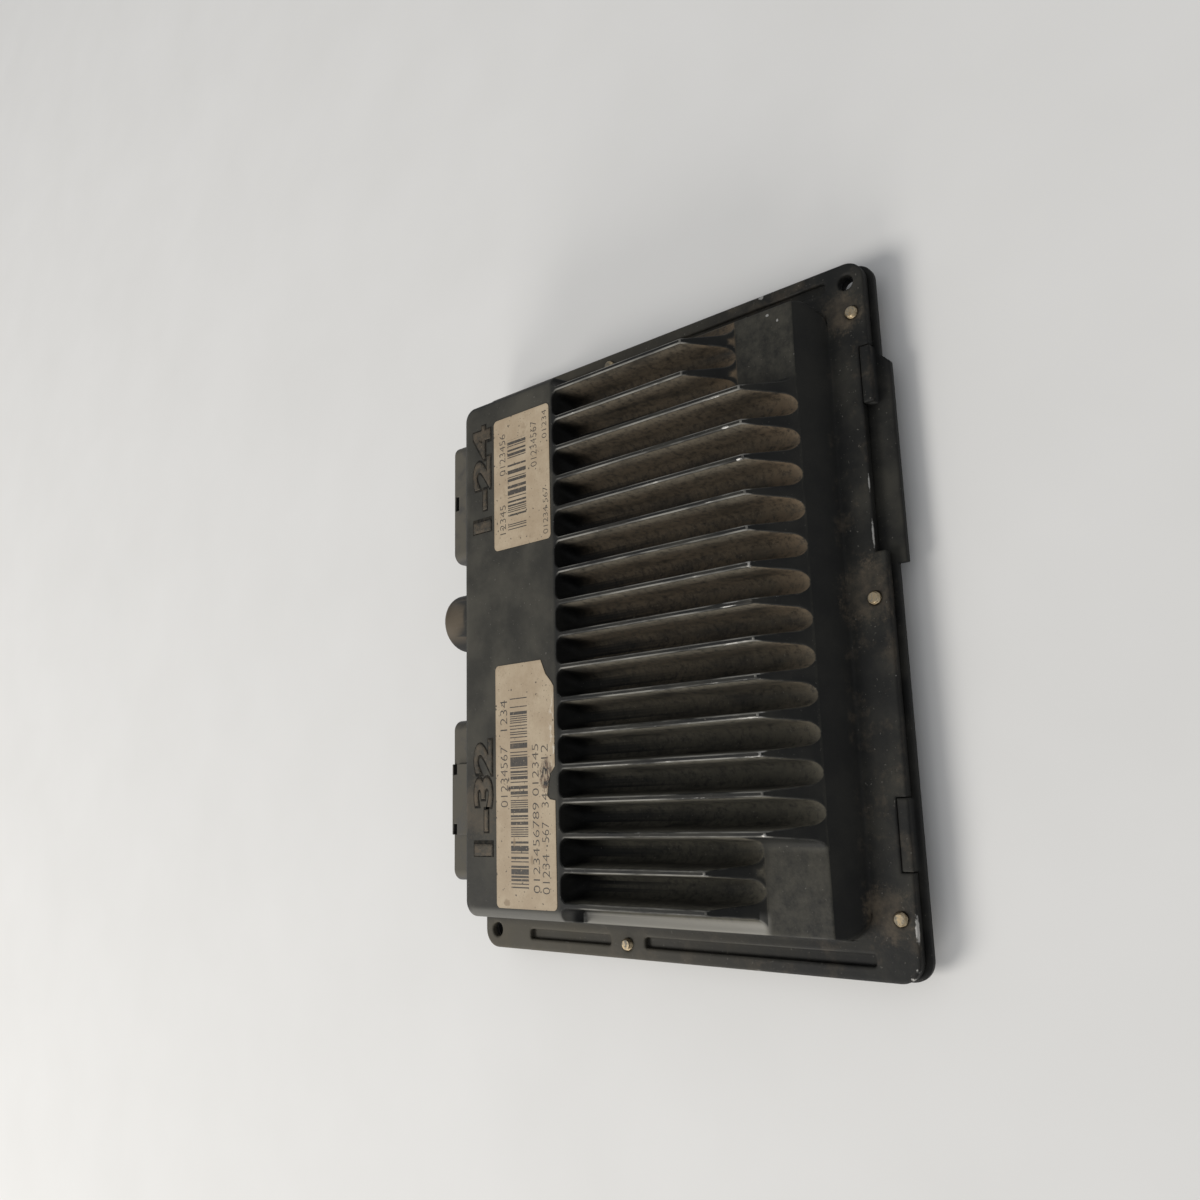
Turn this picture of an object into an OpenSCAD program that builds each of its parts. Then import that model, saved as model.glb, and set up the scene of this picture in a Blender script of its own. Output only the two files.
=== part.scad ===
// Engine control unit: a finned die-cast housing on a flat flange, closed from below by a screwed
// cover, with two harness headers at the connector end and a populated circuit board inside.
// Sizes are in millimetres. +Z is up, the headers face +Y, and the cover rests on z = 0.

/* [Flange] */
// Width of the flange, across the fins
flange_w = 190; // [188:1:204]
// Length of the flange, along the fins
flange_l = 150; // [146:1:170]
// Thickness of the flange
flange_t = 3; // [2.5:0.1:4]
// Corner radius of the flange
flange_r = 5.5; // [4:0.5:8]
// Distance of the mounting holes from the flange's sides
mount_inset_x = 5.6; // [4.5:0.1:7]
// Distance of the mounting holes from the flange's ends
mount_inset_y = 5.3; // [4.5:0.1:7]
// Diameter of the mounting holes
mount_hole_d = 4.5; // [3.5:0.1:5]
// Width of the weight-saving channels along the flange's sides
channel_w = 3; // [2:0.1:3.4]
// Depth of the channels
channel_depth = 1.4; // [0.6:0.1:1.8]
// Width of the lip outside the channels
channel_lip = 3.5; // [2.5:0.1:4]

/* [Body] */
// Width of the flange beside the body
side_margin = 9.25; // [8.5:0.05:11]
// Height of the fin crests above the flange
crest_h = 21.4; // [20.5:0.1:28]
// Draft of the body's long sides, in degrees
side_draft = 8; // [3:0.5:9]
// Draft of the connector end, in degrees
end_draft = 2; // [0.5:0.5:3]
// Radius of the connector block's upper edges
edge_r = 3; // [1:0.5:4]
// Radius of the body's rear upright corners
rear_corner_r = 8; // [4:0.5:10]
// Radius of the connector block's upright corners
front_corner_r = 4; // [2:0.5:6]
// Length of the shelf in front of the connector end
end_shelf = 11.3; // [10:0.1:15]
// Width of the flange behind the body
tail_margin = 11.5; // [10:0.5:13]
// Length of the connector block
block_l = 41.9; // [40:0.1:48]
// Run of the sloping wall below the fins' ends
back_run = 5.4; // [3:0.1:7]
// Wall thickness of the casting
wall_t = 3; // [2.4:0.1:3.4]
// Thickness of the casting under the grooves
roof_t = 3; // [2:0.1:3.4]
// Radius of the cavity's upright corners
cavity_r = 2; // [1:0.1:4]

/* [Fins] */
// Distance between fins
fin_pitch = 9.8; // [9:0.1:10.5]
// Thickness of a fin at its crest
crest_t = 1.4; // [1:0.1:2]
// Depth of the grooves between fins
groove_depth = 11.3; // [9:0.1:11.5]
// Draft of the groove walls, in degrees
groove_draft = 7.5; // [4:0.5:8]
// Corner radius of the grooves at the connector block
mouth_r = 3; // [1:0.5:3.5]
// Slope of the fins' ends, in degrees
run_out = 45; // [40:1:55]
// Grooves on each side that end early
short_grooves = 2; // [1:1:3]
// Length of the flat ledges behind the short grooves
corner_flat = 18.6; // [12:0.1:24]

/* [Harness bolt boss] */
// Diameter of the boss between the headers
boss_d = 19.4; // [15:0.1:20]
// Distance of the boss from the middle
boss_x = 11.3; // [8:0.1:14]
// Depth of the boss's axis below the crests
boss_drop = 10.8; // [10.3:0.1:12]
// Radius of the boss's end edge
boss_round = 2; // [0.5:0.1:3]
// Diameter of the tapped hole, at the thread's crests
thread_d = 5; // [4:0.1:6.8]
// Depth of the tapped hole
thread_l = 12; // [8:0.5:14]

/* [Headers] */
// Width of the 24-way header
header_24_w = 42.2; // [40:0.1:45]
// Width of the 32-way header
header_32_w = 51.4; // [50:0.1:54]
// Height of the headers
header_h = 14; // [12:0.1:15]
// Corner radius of the headers
header_r = 3.5; // [2:0.1:4.5]
// Wall thickness of the headers
header_wall = 1.8; // [1.2:0.1:2.2]
// Distance of the 24-way header from the body's side
header_24_side = 11.45; // [10.5:0.05:14]
// Distance of the 32-way header from the body's other side
header_32_side = 12.75; // [10.5:0.05:14]
// Gap between a header and the shelf
header_lift = 1; // [0.6:0.1:1.6]
// Setback of the headers' mouths from the flange's edge
header_setback = 0.8; // [0.5:0.1:3]
// Depth of the moulded block that holds the terminals, behind the end wall
header_block_l = 10; // [8:0.1:11]
// Lip of the header collar beyond the header's outline
collar_lip = 2.2; // [1.5:0.1:2.4]
// Thickness of the header collar
collar_t = 2.5; // [1.5:0.1:3]
// Thickness of the header seal
seal_t = 1; // [0.6:0.1:1.5]
// Distance between terminals in a row
pin_pitch = 2.54; // [2.2:0.01:2.7]
// Distance between the two rows of terminals
row_gap = 4.6; // [3.5:0.1:5.5]
// Thickness of a terminal
pin_t = 1; // [0.7:0.1:1.2]
// Reach of the terminals into the socket
pin_reach = 8; // [6:0.1:9]
// Length of the key slots in the headers' upper walls
key_slot_l = 1.6; // [1:0.1:3]
// Distance of the key slots from the headers' mouths
key_slot_edge = 0.6; // [0.4:0.1:2]
// Width of the 24-way header's key slot
key_24_w = 5; // [3:0.1:8]
// Width of the raised rib on the 32-way header
key_32_rib_w = 22.6; // [14:0.1:26]
// Height of that rib
key_32_rib_h = 0.9; // [0.5:0.1:1.5]
// Width of the slots at the rib's ends
key_32_slot_w = 3.4; // [2:0.1:4]

/* [Cover] */
// Thickness of the cover
cover_t = 2; // [1.5:0.1:2.5]
// Depth of the cover's pan, below its rim
pan_depth = 4.5; // [3:0.1:7]
// Slope of the pan's sides from upright, in degrees
pan_draft = 20; // [5:1:30]
// Reach of the cover beyond the flange at the rear
cover_overhang = 1.5; // [0.5:0.1:2.5]
// Thickness of the sealing bead
bead_t = 0.4; // [0.2:0.1:0.8]
// Width of the sealing bead
bead_w = 3; // [2:0.1:3.5]
// Distance of the sealing bead from the cavity's edge
bead_inset = 2; // [1:0.1:2.5]
// Depth of the flange's rear notches
notch_depth = 3; // [1.5:0.1:3.2]
// Length of the open notch at the rear
open_notch_l = 57.4; // [45:0.1:60]
// Distance of the open notch from the flange's side
open_notch_side = 25.4; // [24:0.1:28]
// Length of the upright tab in the open notch
open_tab_l = 16.5; // [10:0.1:20]
// Length of the closed notch, which its tab fills
closed_notch_l = 18.2; // [14:0.1:22]
// Distance of the closed notch from the flange's other side
closed_notch_side = 26.1; // [24:0.1:30]
// Length of the ear on the cover's rear edge
ear_l = 58; // [40:0.1:60]
// Reach of the ear beyond the cover's edge
ear_out = 2.6; // [1.5:0.1:3.5]

/* [Fasteners] */
// Diameter of the cover screws
screw_d = 3.5; // [3:0.1:4]
// Head diameter of the cover screws
screw_head_d = 6.6; // [6:0.1:7.2]
// Head height of the cover screws
screw_head_h = 2.2; // [1.5:0.1:2.6]
// Length of the cover screws' ends above the flange
screw_proud = 1.2; // [0.5:0.1:2.5]
// Distance of the cover screws from the flange's edges
screw_inset = 4.1; // [3.8:0.1:4.5]
// Distance of the outer end screws from the flange's sides
screw_corner_inset = 15.1; // [13.5:0.1:16]
// Place of the side screws along the flange
side_screw_y = 15; // [10:0.5:18]
// Diameter of the board screws
board_screw_d = 2.5; // [2:0.1:3]
// Length of the board screws below their heads
board_screw_l = 5.5; // [4:0.1:6]
// Diameter of the posts that carry the board
post_d = 7; // [6:0.1:8]
// Play of screws in their holes and of fitted pieces
fit_gap = 0.1; // [0.05:0.05:0.2]

/* [Board] */
// Thickness of the circuit board
board_t = 1.6; // [1.2:0.1:2]
// Gap between the board and the cavity's walls
board_gap = 1.8; // [1:0.1:2.5]
// Thickness of the thermal pads
pad_t = 0.5; // [0.3:0.1:1]
// Width of the processor's package
processor_w = 24; // [20:0.5:26]
// Height of the processor's package
processor_h = 4.2; // [3:0.1:4.6]
// Diameter of the electrolytic capacitors
can_d = 10; // [8:0.1:11]
// Height of the electrolytic capacitors
can_h = 14; // [10:0.1:15]
// Outer diameter of the choke
choke_d = 14; // [11:0.1:15]
// Height of the choke
choke_h = 7; // [5:0.1:8]
// Width of a power transistor
transistor_w = 10; // [9:0.1:10.5]
// Height of a power transistor's body and tab
transistor_h = 14.6; // [12:0.1:15]

/* [Stickers] */
// Thickness of the stickers
label_t = 0.2; // [0.1:0.05:0.4]
// Length of a sticker along the fins
label_l = 24.7; // [20:0.1:26]
// Width of the upper sticker
label_upper_w = 44.1; // [36:0.1:46]
// Distance of the upper sticker from the body's side
label_upper_side = 11.3; // [7:0.05:14]
// Width of the lower sticker
label_lower_w = 73; // [60:0.1:74]
// Distance of the lower sticker from the body's other side
label_lower_side = 5.85; // [5:0.05:8]
// Distance of the stickers from the grooves' ends
label_inset = 1.2; // [0.5:0.1:3]
// Corner radius of the stickers
label_r = 1.5; // [0.5:0.1:3]

/* [Hidden] */
$fn = 48;

// Overlap that joins or clears faces in a cut
over = 1;

// Heights
z_rim = pan_depth;
z_cover_top = z_rim + cover_t;
z_flange_low = z_cover_top + bead_t;
z_flange = z_flange_low + flange_t;
z_crest = z_flange + crest_h;
z_ledge = z_crest - groove_depth;
z_low_roof = z_ledge - roof_t;
z_tall_roof = z_crest - roof_t;
z_board = z_flange + header_lift;
z_board_low = z_board - board_t;
z_header = z_board + header_h / 2;

// Places along the fins
y_front = flange_l / 2;
y_rear = -flange_l / 2;
y_end_wall = y_front - end_shelf;
y_mouth = y_end_wall - block_l;
y_back_foot = y_rear + tail_margin;
y_shoulder = y_back_foot + back_run;
fin_end_run = groove_depth / tan(run_out);
y_long_end = y_shoulder + fin_end_run;
y_short_foot = y_shoulder + corner_flat;
y_cavity_front = y_end_wall - wall_t - crest_h * tan(end_draft);
y_cavity_back = y_shoulder + wall_t / 2;
y_collar = y_cavity_front - seal_t;
y_collar_back = y_collar - collar_t;
y_header_back = y_collar_back - header_block_l;
y_header_mouth = y_front - header_setback;
y_socket_floor = y_header_mouth - socket_depth();
y_tall_back = y_mouth + wall_t;

// Places across the fins
body_w = flange_w - 2 * side_margin;
header_24_x = body_w / 2 - header_24_side - header_24_w / 2;
header_32_x = body_w / 2 - header_32_side - header_32_w / 2;
label_upper_x = body_w / 2 - label_upper_side - label_upper_w / 2;
label_lower_x = body_w / 2 - label_lower_side - label_lower_w / 2;
open_notch_x = flange_w / 2 - open_notch_side - open_notch_l;
closed_notch_x = flange_w / 2 - closed_notch_side - closed_notch_l / 2;

// Half widths of the drafted body at a height
function body_half(z) = body_w / 2 - (z - z_flange) * tan(side_draft);
cavity_half = body_half(z_ledge) - wall_t;
tall_half = body_half(z_crest) - wall_t;
// Least width of the ledge outside the last fin
side_ledge = 5;
fins_each_side = floor((body_half(z_ledge) - side_ledge) / fin_pitch);
fin_count = 2 * fins_each_side + 1;

// Groove section: straight walls that run tangent into a round floor
groove_half = (fin_pitch - crest_t) / 2;
groove_floor_half = groove_half - groove_depth * tan(groove_draft);
groove_r = groove_floor_half / (1 / cos(groove_draft) - tan(groove_draft));

// Socket of the headers: two terminal lengths deep
function socket_depth() = 2 * pin_reach;

// Fasteners
screw_corner_x = flange_w / 2 - screw_corner_inset;
screw_end_y = flange_l / 2 - screw_inset;
screw_front_x = (boss_x - boss_d / 2 - header_32_x + header_32_w / 2) / 2;
cover_screw_at = concat(
    [for (x = [-1, 1], y = [-1, 1]) [x * screw_corner_x, y * screw_end_y]],
    [for (x = [-1, 1]) [x * (flange_w / 2 - screw_inset), side_screw_y]],
    [[0, -screw_end_y], [screw_front_x, screw_end_y]]
);
// Two mounting holes, at opposite corners of the flange
mount_at = [for (side = [-1, 1])
    [side * (flange_w / 2 - mount_inset_x), -side * (flange_l / 2 - mount_inset_y)]];

// Board outline and the posts that carry it
board_half = cavity_half - board_gap;
y_board_back = y_cavity_back + board_gap;
y_board_front = y_collar_back - fit_gap;
board_r = 3;
post_edge = 1;
post_inset = post_d / 2 + post_edge;
post_at = [for (x = [-1, 1], y = [y_board_back + post_inset, y_mouth - post_inset])
    [x * (board_half - post_inset), y]];

// Terminals
header_24_columns = 12;
header_32_columns = 16;
pin_back_step = 2.2;
pin_tail = 1.2;
pin_hole_r = pin_t * sqrt(2) / 2 + fit_gap;

// Columns on the board, measured from its middle
driver_x = 50;
interface_x = 25;
regulator_x = 30;
crystal_x = 24;
diode_x = 50;
capacitor_x = 38;
network_inset = 12.5;
resistor_step = 6;

// Rows on the board, measured from its rear edge
resistor_row = 4;
resistor_row_step = 3;
interface_row = 14;
capacitor_row = 18;
capacitor_step = 7;
driver_row = 22;
middle_row = 37;
driver_far_row = 52;
interface_far_row = 60;
memory_row = 62;
function row_y(row) = y_board_back + row;

processor_at = [0, row_y(middle_row)];
memory_at = [0, row_y(memory_row)];
driver_at = [for (x = [-1, 1], row = [driver_row, driver_far_row]) [x * driver_x, row_y(row)]];
interface_at = [for (x = [-1, 1], row = [interface_row, interface_far_row])
    [x * interface_x, row_y(row)]];
regulator_at = [regulator_x, row_y(middle_row)];
crystal_at = [-crystal_x, row_y(middle_row)];
diode_at = [diode_x, row_y(middle_row)];
network_at = [for (x = [-1, 1]) [x * (board_half - network_inset), row_y(middle_row)]];
resistor_at = [for (i = [0:11], j = [0, 1])
    [(i - 5.5) * resistor_step, row_y(resistor_row + j * resistor_row_step)]];
capacitor_at = [for (x = [-1, 1], i = [0:5])
    [x * capacitor_x, row_y(capacitor_row + capacitor_step * i)]];

// Tall parts stand in the connector block, between its rear wall and the terminals
part_gap = 2;
y_tall_row = (y_tall_back + y_header_back - 2 * pin_back_step - pin_t) / 2;
can_step = can_d + part_gap;
can_at = [for (i = [-1:1]) [i * can_step, y_tall_row]];
choke_at = [-1.5 * can_step - choke_d / 2 - part_gap, y_tall_row];
transistor_step = transistor_w + part_gap;
transistor_at = [for (i = [0:3]) 1.5 * can_step + 2 * part_gap + transistor_step * (i + 0.5)];

// Package sizes
soic_w = 7.5;
soic_h = 2.4;
lead_pitch = 1.27;
lead_w = 0.5;
lead_out = 1.3;
lead_h = 1.2;
package_lift = 0.2;
package_bevel = 0.4;
driver_leads = 10;
interface_leads = 8;
memory_leads = 14;
processor_leads = 13;
transistor_t = 4.4;
transistor_tab_t = 1.3;
transistor_lead_l = 1.6;
regulator_size = [10, 9, 4.4];
crystal_size = [11, 4.6, 3.4];
crystal_end_r = 2;
diode_d = 5;
diode_l = 9;
network_size = [2.5, 23, 5];
chip_resistor_size = [3.2, 1.6, 0.6];
chip_capacitor_size = [2, 1.25, 1.1];

// Extrude an X-Z outline along Y
module along_y(y0, y1) {
    translate([0, y1, 0]) rotate([90, 0, 0]) linear_extrude(y1 - y0) children();
}

// Extrude a Y-Z outline along X
module along_x(x0, x1) {
    translate([x0, 0, 0]) rotate([90, 0, 90]) linear_extrude(x1 - x0) children();
}

// Extrude a plan outline between two heights
module upright(z0, z1) {
    translate([0, 0, z0]) linear_extrude(z1 - z0) children();
}

// Rectangle between two corners with round corners
module rounded_rect(x0, x1, y0, y1, r) {
    translate([x0 + r, y0]) square([x1 - x0 - 2 * r, y1 - y0]);
    translate([x0, y0 + r]) square([x1 - x0, y1 - y0 - 2 * r]);
    for (x = [x0 + r, x1 - r], y = [y0 + r, y1 - r]) translate([x, y]) circle(r);
}

module cavity_outline(grow) {
    rounded_rect(-cavity_half - grow, cavity_half + grow, y_cavity_back - grow, y_cavity_front + grow,
        cavity_r + grow);
}

// Housing: body outlines

// Cross-section of the body: drafted sides and round upper edges
module body_section() {
    arc_z = z_crest - edge_r;
    arc_x = body_half(arc_z) - edge_r / cos(side_draft);
    wall_x = arc_x + edge_r * cos(side_draft);
    wall_z = arc_z + edge_r * sin(side_draft);
    foot_z = z_flange - flange_t / 2;
    polygon([
        [-body_w / 2, foot_z], [body_w / 2, foot_z], [body_w / 2, z_flange],
        [wall_x, wall_z], [arc_x, z_crest], [-arc_x, z_crest], [-wall_x, wall_z],
        [-body_w / 2, z_flange]
    ]);
    for (side = [-1, 1]) translate([side * arc_x, arc_z]) circle(edge_r);
}

// Side view of the body: connector end, crests, sloping fin ends and rear wall
module body_profile() {
    arc_z = z_crest - edge_r;
    arc_y = y_end_wall - (arc_z - z_flange) * tan(end_draft) - edge_r / cos(end_draft);
    foot_z = z_flange - flange_t / 2;
    polygon([
        [y_back_foot, foot_z], [y_end_wall, foot_z], [y_end_wall, z_flange],
        [arc_y + edge_r * cos(end_draft), arc_z + edge_r * sin(end_draft)], [arc_y, z_crest],
        [y_long_end, z_crest], [y_shoulder, z_ledge], [y_back_foot, z_flange]
    ]);
    translate([arc_y, arc_z]) circle(edge_r);
}

// Plan of the body: wide round corners at the rear, small ones at the connector end
module body_plan() {
    half = body_w / 2;
    middle = (y_back_foot + y_end_wall) / 2;
    rounded_rect(-half, half, y_back_foot, middle + rear_corner_r, rear_corner_r);
    rounded_rect(-half, half, middle - front_corner_r, y_end_wall, front_corner_r);
}

module body_block() {
    intersection() {
        along_y(y_back_foot, y_end_wall) body_section();
        along_x(-body_w / 2, body_w / 2) body_profile();
        upright(z_flange_low, z_crest) body_plan();
    }
}

// Housing: the grooves

// Half width of a groove at a height above its round floor
function groove_wall(z) = groove_half + (z - z_crest) * tan(groove_draft);

module groove_section() {
    tangent_z = z_ledge + groove_r * (1 - sin(groove_draft));
    top_z = z_crest + over;
    translate([0, z_ledge + groove_r]) circle(groove_r);
    polygon([
        [-groove_wall(tangent_z), tangent_z], [groove_wall(tangent_z), tangent_z],
        [groove_wall(top_z), top_z], [-groove_wall(top_z), top_z]
    ]);
}

// A groove section whose outer half is open to the side
module open_groove_section() {
    groove_section();
    translate([0, z_ledge]) square([body_w, crest_h]);
}

// Plan of a groove with round corners at the connector block
module groove_plan(outer) {
    half = groove_wall(z_crest + 2 * over);
    rounded_rect(-half, max(half, outer), y_back_foot - 2 * mouth_r, y_mouth, mouth_r);
}

// A section cut along the body, from the rear to the round corners
module groove_cut(outer) {
    intersection() {
        along_y(y_back_foot - over, y_mouth + over) children();
        upright(z_ledge - over, z_crest + 2 * over) groove_plan(outer);
    }
}

module grooves() {
    for (i = [0:fin_count - 2])
        translate([(i - (fin_count - 2) / 2) * fin_pitch, 0, 0]) groove_cut(0) groove_section();
    for (side = [0, 1]) mirror([side, 0, 0])
        translate([fin_count / 2 * fin_pitch, 0, 0]) groove_cut(body_w) open_groove_section();
}

// Flat ledges at the rear corners, where the outer grooves end early
module corner_ledges() {
    x_inner = (fin_count / 2 - short_grooves) * fin_pitch;
    for (side = [0, 1]) mirror([side, 0, 0]) intersection() {
        translate([x_inner, 0, 0]) along_y(y_back_foot - over, y_mouth) open_groove_section();
        along_x(0, body_w) polygon([
            [y_short_foot, z_ledge],
            [y_short_foot + (crest_h + over) / tan(run_out), z_ledge + crest_h + over],
            [y_back_foot - over, z_ledge + crest_h + over], [y_back_foot - over, z_ledge]
        ]);
    }
}

// Housing: inside and details

module cavity() {
    upright(z_flange_low - over, z_low_roof) cavity_outline(0);
    upright(z_flange, z_tall_roof)
        rounded_rect(-tall_half, tall_half, y_tall_back, y_cavity_front, cavity_r);
}

module board_posts() {
    for (at = post_at) translate([at[0], at[1], z_board])
        cylinder(h = z_low_roof + roof_t / 2 - z_board, d = post_d);
}

// Pedestals that reach down to the driver chips' thermal pads
module heat_pedestals() {
    z_pad = z_board + package_lift + soic_h + pad_t;
    length = driver_leads * lead_pitch;
    for (at = driver_at) translate([at[0] - length / 2, at[1] - soic_w / 2, z_pad])
        cube([length, soic_w, z_low_roof + roof_t / 2 - z_pad]);
}

// Round boss for the harness bolt, on a web that joins it to the shelf
module bolt_boss() {
    r = boss_d / 2;
    length = y_header_mouth - y_cavity_front;
    translate([boss_x, y_cavity_front, z_crest - boss_drop]) rotate([-90, 0, 0]) rotate_extrude() {
        square([r, length - boss_round]);
        square([r - boss_round, length]);
        translate([r - boss_round, length - boss_round]) circle(boss_round);
    }
    web_z = z_flange - flange_t / 2;
    translate([boss_x - r, y_cavity_front, web_z])
        cube([boss_d, length - boss_round, z_crest - boss_drop - web_z]);
}

module bolt_thread() {
    translate([boss_x, y_header_mouth - thread_l, z_crest - boss_drop]) rotate([-90, 0, 0])
        cylinder(h = thread_l + over, d = thread_d);
}

// Outline of a header in the X-Z plane, grown all round
module header_outline(x, w, grow) {
    half = w / 2 + grow;
    rounded_rect(x - half, x + half, z_board - grow, z_board + header_h + grow, header_r + grow);
}

module header_windows() {
    along_y(y_cavity_front - over, y_front) {
        header_outline(header_24_x, header_24_w, fit_gap);
        header_outline(-header_32_x, header_32_w, fit_gap);
    }
}

module flange_plate() {
    upright(z_flange_low, z_flange)
        rounded_rect(-flange_w / 2, flange_w / 2, y_rear, y_front, flange_r);
}

// Channels beside the body, interrupted at the side screws
module flange_channels() {
    x = flange_w / 2 - channel_lip - channel_w / 2;
    screw_land = 6.5;
    end_land = 9;
    stretches = [
        [y_back_foot, side_screw_y - screw_land], [side_screw_y + screw_land, y_end_wall - end_land]
    ];
    for (side = [-1, 1], s = stretches) upright(z_flange - channel_depth, z_flange + over)
        rounded_rect(side * x - channel_w / 2, side * x + channel_w / 2, s[0], s[1], channel_w / 4);
}

// Notches in the flange's rear edge for the cover's tabs
module rear_notch(x0, x1) {
    translate([x0, y_rear - over, z_flange_low - over])
        cube([x1 - x0, notch_depth + over, flange_t + 2 * over]);
}

module rear_notches() {
    rear_notch(open_notch_x, open_notch_x + open_notch_l);
    rear_notch(-closed_notch_x - closed_notch_l / 2, -closed_notch_x + closed_notch_l / 2);
}

module drill(at, z0, z1, d) {
    for (p = at) translate([p[0], p[1], z0]) cylinder(h = z1 - z0, d = d);
}

module housing() {
    color([0.1, 0.1, 0.1]) difference() {
        union() {
            difference() {
                union() {
                    body_block();
                    flange_plate();
                    bolt_boss();
                }
                grooves();
                corner_ledges();
                cavity();
                header_windows();
            }
            board_posts();
            heat_pedestals();
        }
        bolt_thread();
        flange_channels();
        rear_notches();
        drill(mount_at, z_flange_low - over, z_flange + over, mount_hole_d);
        drill(cover_screw_at, z_flange_low - over, z_flange + over, screw_d + fit_gap);
        drill(post_at, z_board - over, z_board + board_screw_l, board_screw_d + fit_gap);
    }
}

// Cover

// Plan of the cover's rim with its rear overhang and ear
module cover_plan() {
    rounded_rect(-flange_w / 2, flange_w / 2, y_rear - cover_overhang, y_front, flange_r);
    y_edge = y_rear - cover_overhang;
    x_end = open_notch_x + open_notch_l - ear_out;
    polygon([
        [x_end - ear_l, y_edge + over], [x_end - ear_l, y_edge - ear_out],
        [x_end - ear_out, y_edge - ear_out], [x_end, y_edge], [x_end, y_edge + over]
    ]);
}

// Drafted pan: rounded in plan, sloping on all four sides
module pan(z0, z1, inset) {
    slope = (z1 - z0) * tan(pan_draft);
    half = cavity_half - 2 * bead_inset - inset;
    y0 = y_cavity_back + 2 * bead_inset + inset;
    y1 = y_cavity_front - 2 * bead_inset - inset;
    intersection() {
        along_y(y0, y1) polygon([[slope - half, z0], [half - slope, z0], [half, z1], [-half, z1]]);
        along_x(-half, half) polygon([[y0 + slope, z0], [y1 - slope, z0], [y1, z1], [y0, z1]]);
        upright(z0, z1) rounded_rect(-half, half, y0, y1, rear_corner_r);
    }
}

// Upright tab that stands in a notch of the flange
module cover_tab(x0, x1) {
    y_inner = y_rear + notch_depth - 2 * fit_gap;
    translate([x0 + 2 * fit_gap, y_rear - 2 * fit_gap, z_rim])
        cube([x1 - x0 - 4 * fit_gap, y_inner - y_rear + 2 * fit_gap, z_flange - z_rim]);
}

module base_cover() {
    color([0.09, 0.09, 0.09]) difference() {
        union() {
            upright(z_rim, z_cover_top) cover_plan();
            pan(0, z_rim, 0);
            cover_tab(open_notch_x + open_notch_l - open_tab_l, open_notch_x + open_notch_l);
            cover_tab(-closed_notch_x - closed_notch_l / 2, -closed_notch_x + closed_notch_l / 2);
        }
        pan(cover_t, z_cover_top + over, cover_t);
        drill(mount_at, z_rim - over, z_cover_top + over, mount_hole_d);
        drill(cover_screw_at, z_rim - over, z_cover_top + over, screw_d + 2 * fit_gap);
    }
}

module cover_gasket() {
    color([0.25, 0.25, 0.25]) upright(z_cover_top, z_flange_low) difference() {
        cavity_outline(bead_inset + bead_w);
        cavity_outline(bead_inset);
    }
}

// Screws

// Pan-head screw that points up from z = 0, with a cross recess in its head
module pan_screw(d, l, head_d, head_h) {
    recess = head_d / 2;
    slot = head_d / 6;
    difference() {
        union() {
            cylinder(h = l, d = d);
            translate([0, 0, -head_h]) cylinder(h = head_h, d = head_d);
        }
        for (turn = [0, 90]) rotate(turn)
            translate([-recess / 2, -slot / 2, -head_h - over]) cube([recess, slot, head_h / 2 + over]);
    }
}

module cover_screws() {
    color([0.75, 0.73, 0.68]) for (at = cover_screw_at) translate([at[0], at[1], z_rim])
        pan_screw(screw_d, z_flange - z_rim + screw_proud, screw_head_d, screw_head_h);
}

module board_screws() {
    color([0.75, 0.73, 0.68]) for (at = post_at) translate([at[0], at[1], z_board_low])
        pan_screw(board_screw_d, board_screw_l, 2 * board_screw_d, board_screw_d * 0.7);
}

// Headers

function pin_x(x, i, columns) = x + (i - (columns - 1) / 2) * pin_pitch;
function pin_z(row) = z_header + (row - 0.5) * row_gap;
function pin_bend_y(row) = y_header_back - pin_t - row * pin_back_step;

module pin_passages(x, columns) {
    side = pin_t + fit_gap;
    for (i = [0:columns - 1], row = [0, 1])
        translate([pin_x(x, i, columns) - side / 2, y_header_back - over, pin_z(row) - side / 2])
            cube([side, y_socket_floor - y_header_back + 2 * over, side]);
}

// Moulded header: shroud, collar inside the end wall and the block that holds the terminals
module header_shell(x, w, columns) {
    difference() {
        union() {
            along_y(y_header_back, y_header_mouth) header_outline(x, w, 0);
            along_y(y_collar_back, y_collar) header_outline(x, w, collar_lip);
        }
        along_y(y_socket_floor, y_header_mouth + over)
            header_outline(x, w, -header_wall);
        pin_passages(x, columns);
    }
}

// Slot through a header's upper wall, just behind its mouth
module key_slot(x, w) {
    translate([x - w / 2, y_header_mouth - key_slot_edge - key_slot_l, z_header])
        cube([w, key_slot_l, header_h]);
}

module header_24_shell() {
    color([0.08, 0.08, 0.08]) difference() {
        header_shell(header_24_x, header_24_w, header_24_columns);
        key_slot(header_24_x, key_24_w);
    }
}

module header_32_shell() {
    slot_x = (key_32_rib_w - key_32_slot_w) / 2;
    rib_y = y_end_wall + fit_gap;
    color([0.08, 0.08, 0.08]) difference() {
        union() {
            header_shell(-header_32_x, header_32_w, header_32_columns);
            translate([-header_32_x - key_32_rib_w / 2, rib_y, z_board + header_h - header_wall / 2])
                cube([key_32_rib_w, y_header_mouth - rib_y, header_wall / 2 + key_32_rib_h]);
        }
        for (side = [-1, 1]) key_slot(side * slot_x - header_32_x, key_32_slot_w);
    }
}

// Bent terminals: along Y in the socket, then down through the board
module header_pins(x, columns) {
    color([0.8, 0.72, 0.5]) for (i = [0:columns - 1], row = [0, 1]) {
        bend_y = pin_bend_y(row);
        tail_z = z_board_low - pin_tail;
        translate([pin_x(x, i, columns) - pin_t / 2, bend_y - pin_t / 2, pin_z(row) - pin_t / 2])
            cube([pin_t, y_socket_floor + pin_reach - bend_y + pin_t / 2, pin_t]);
        translate([pin_x(x, i, columns) - pin_t / 2, bend_y - pin_t / 2, tail_z])
            cube([pin_t, pin_t, pin_z(row) - tail_z]);
    }
}

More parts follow.
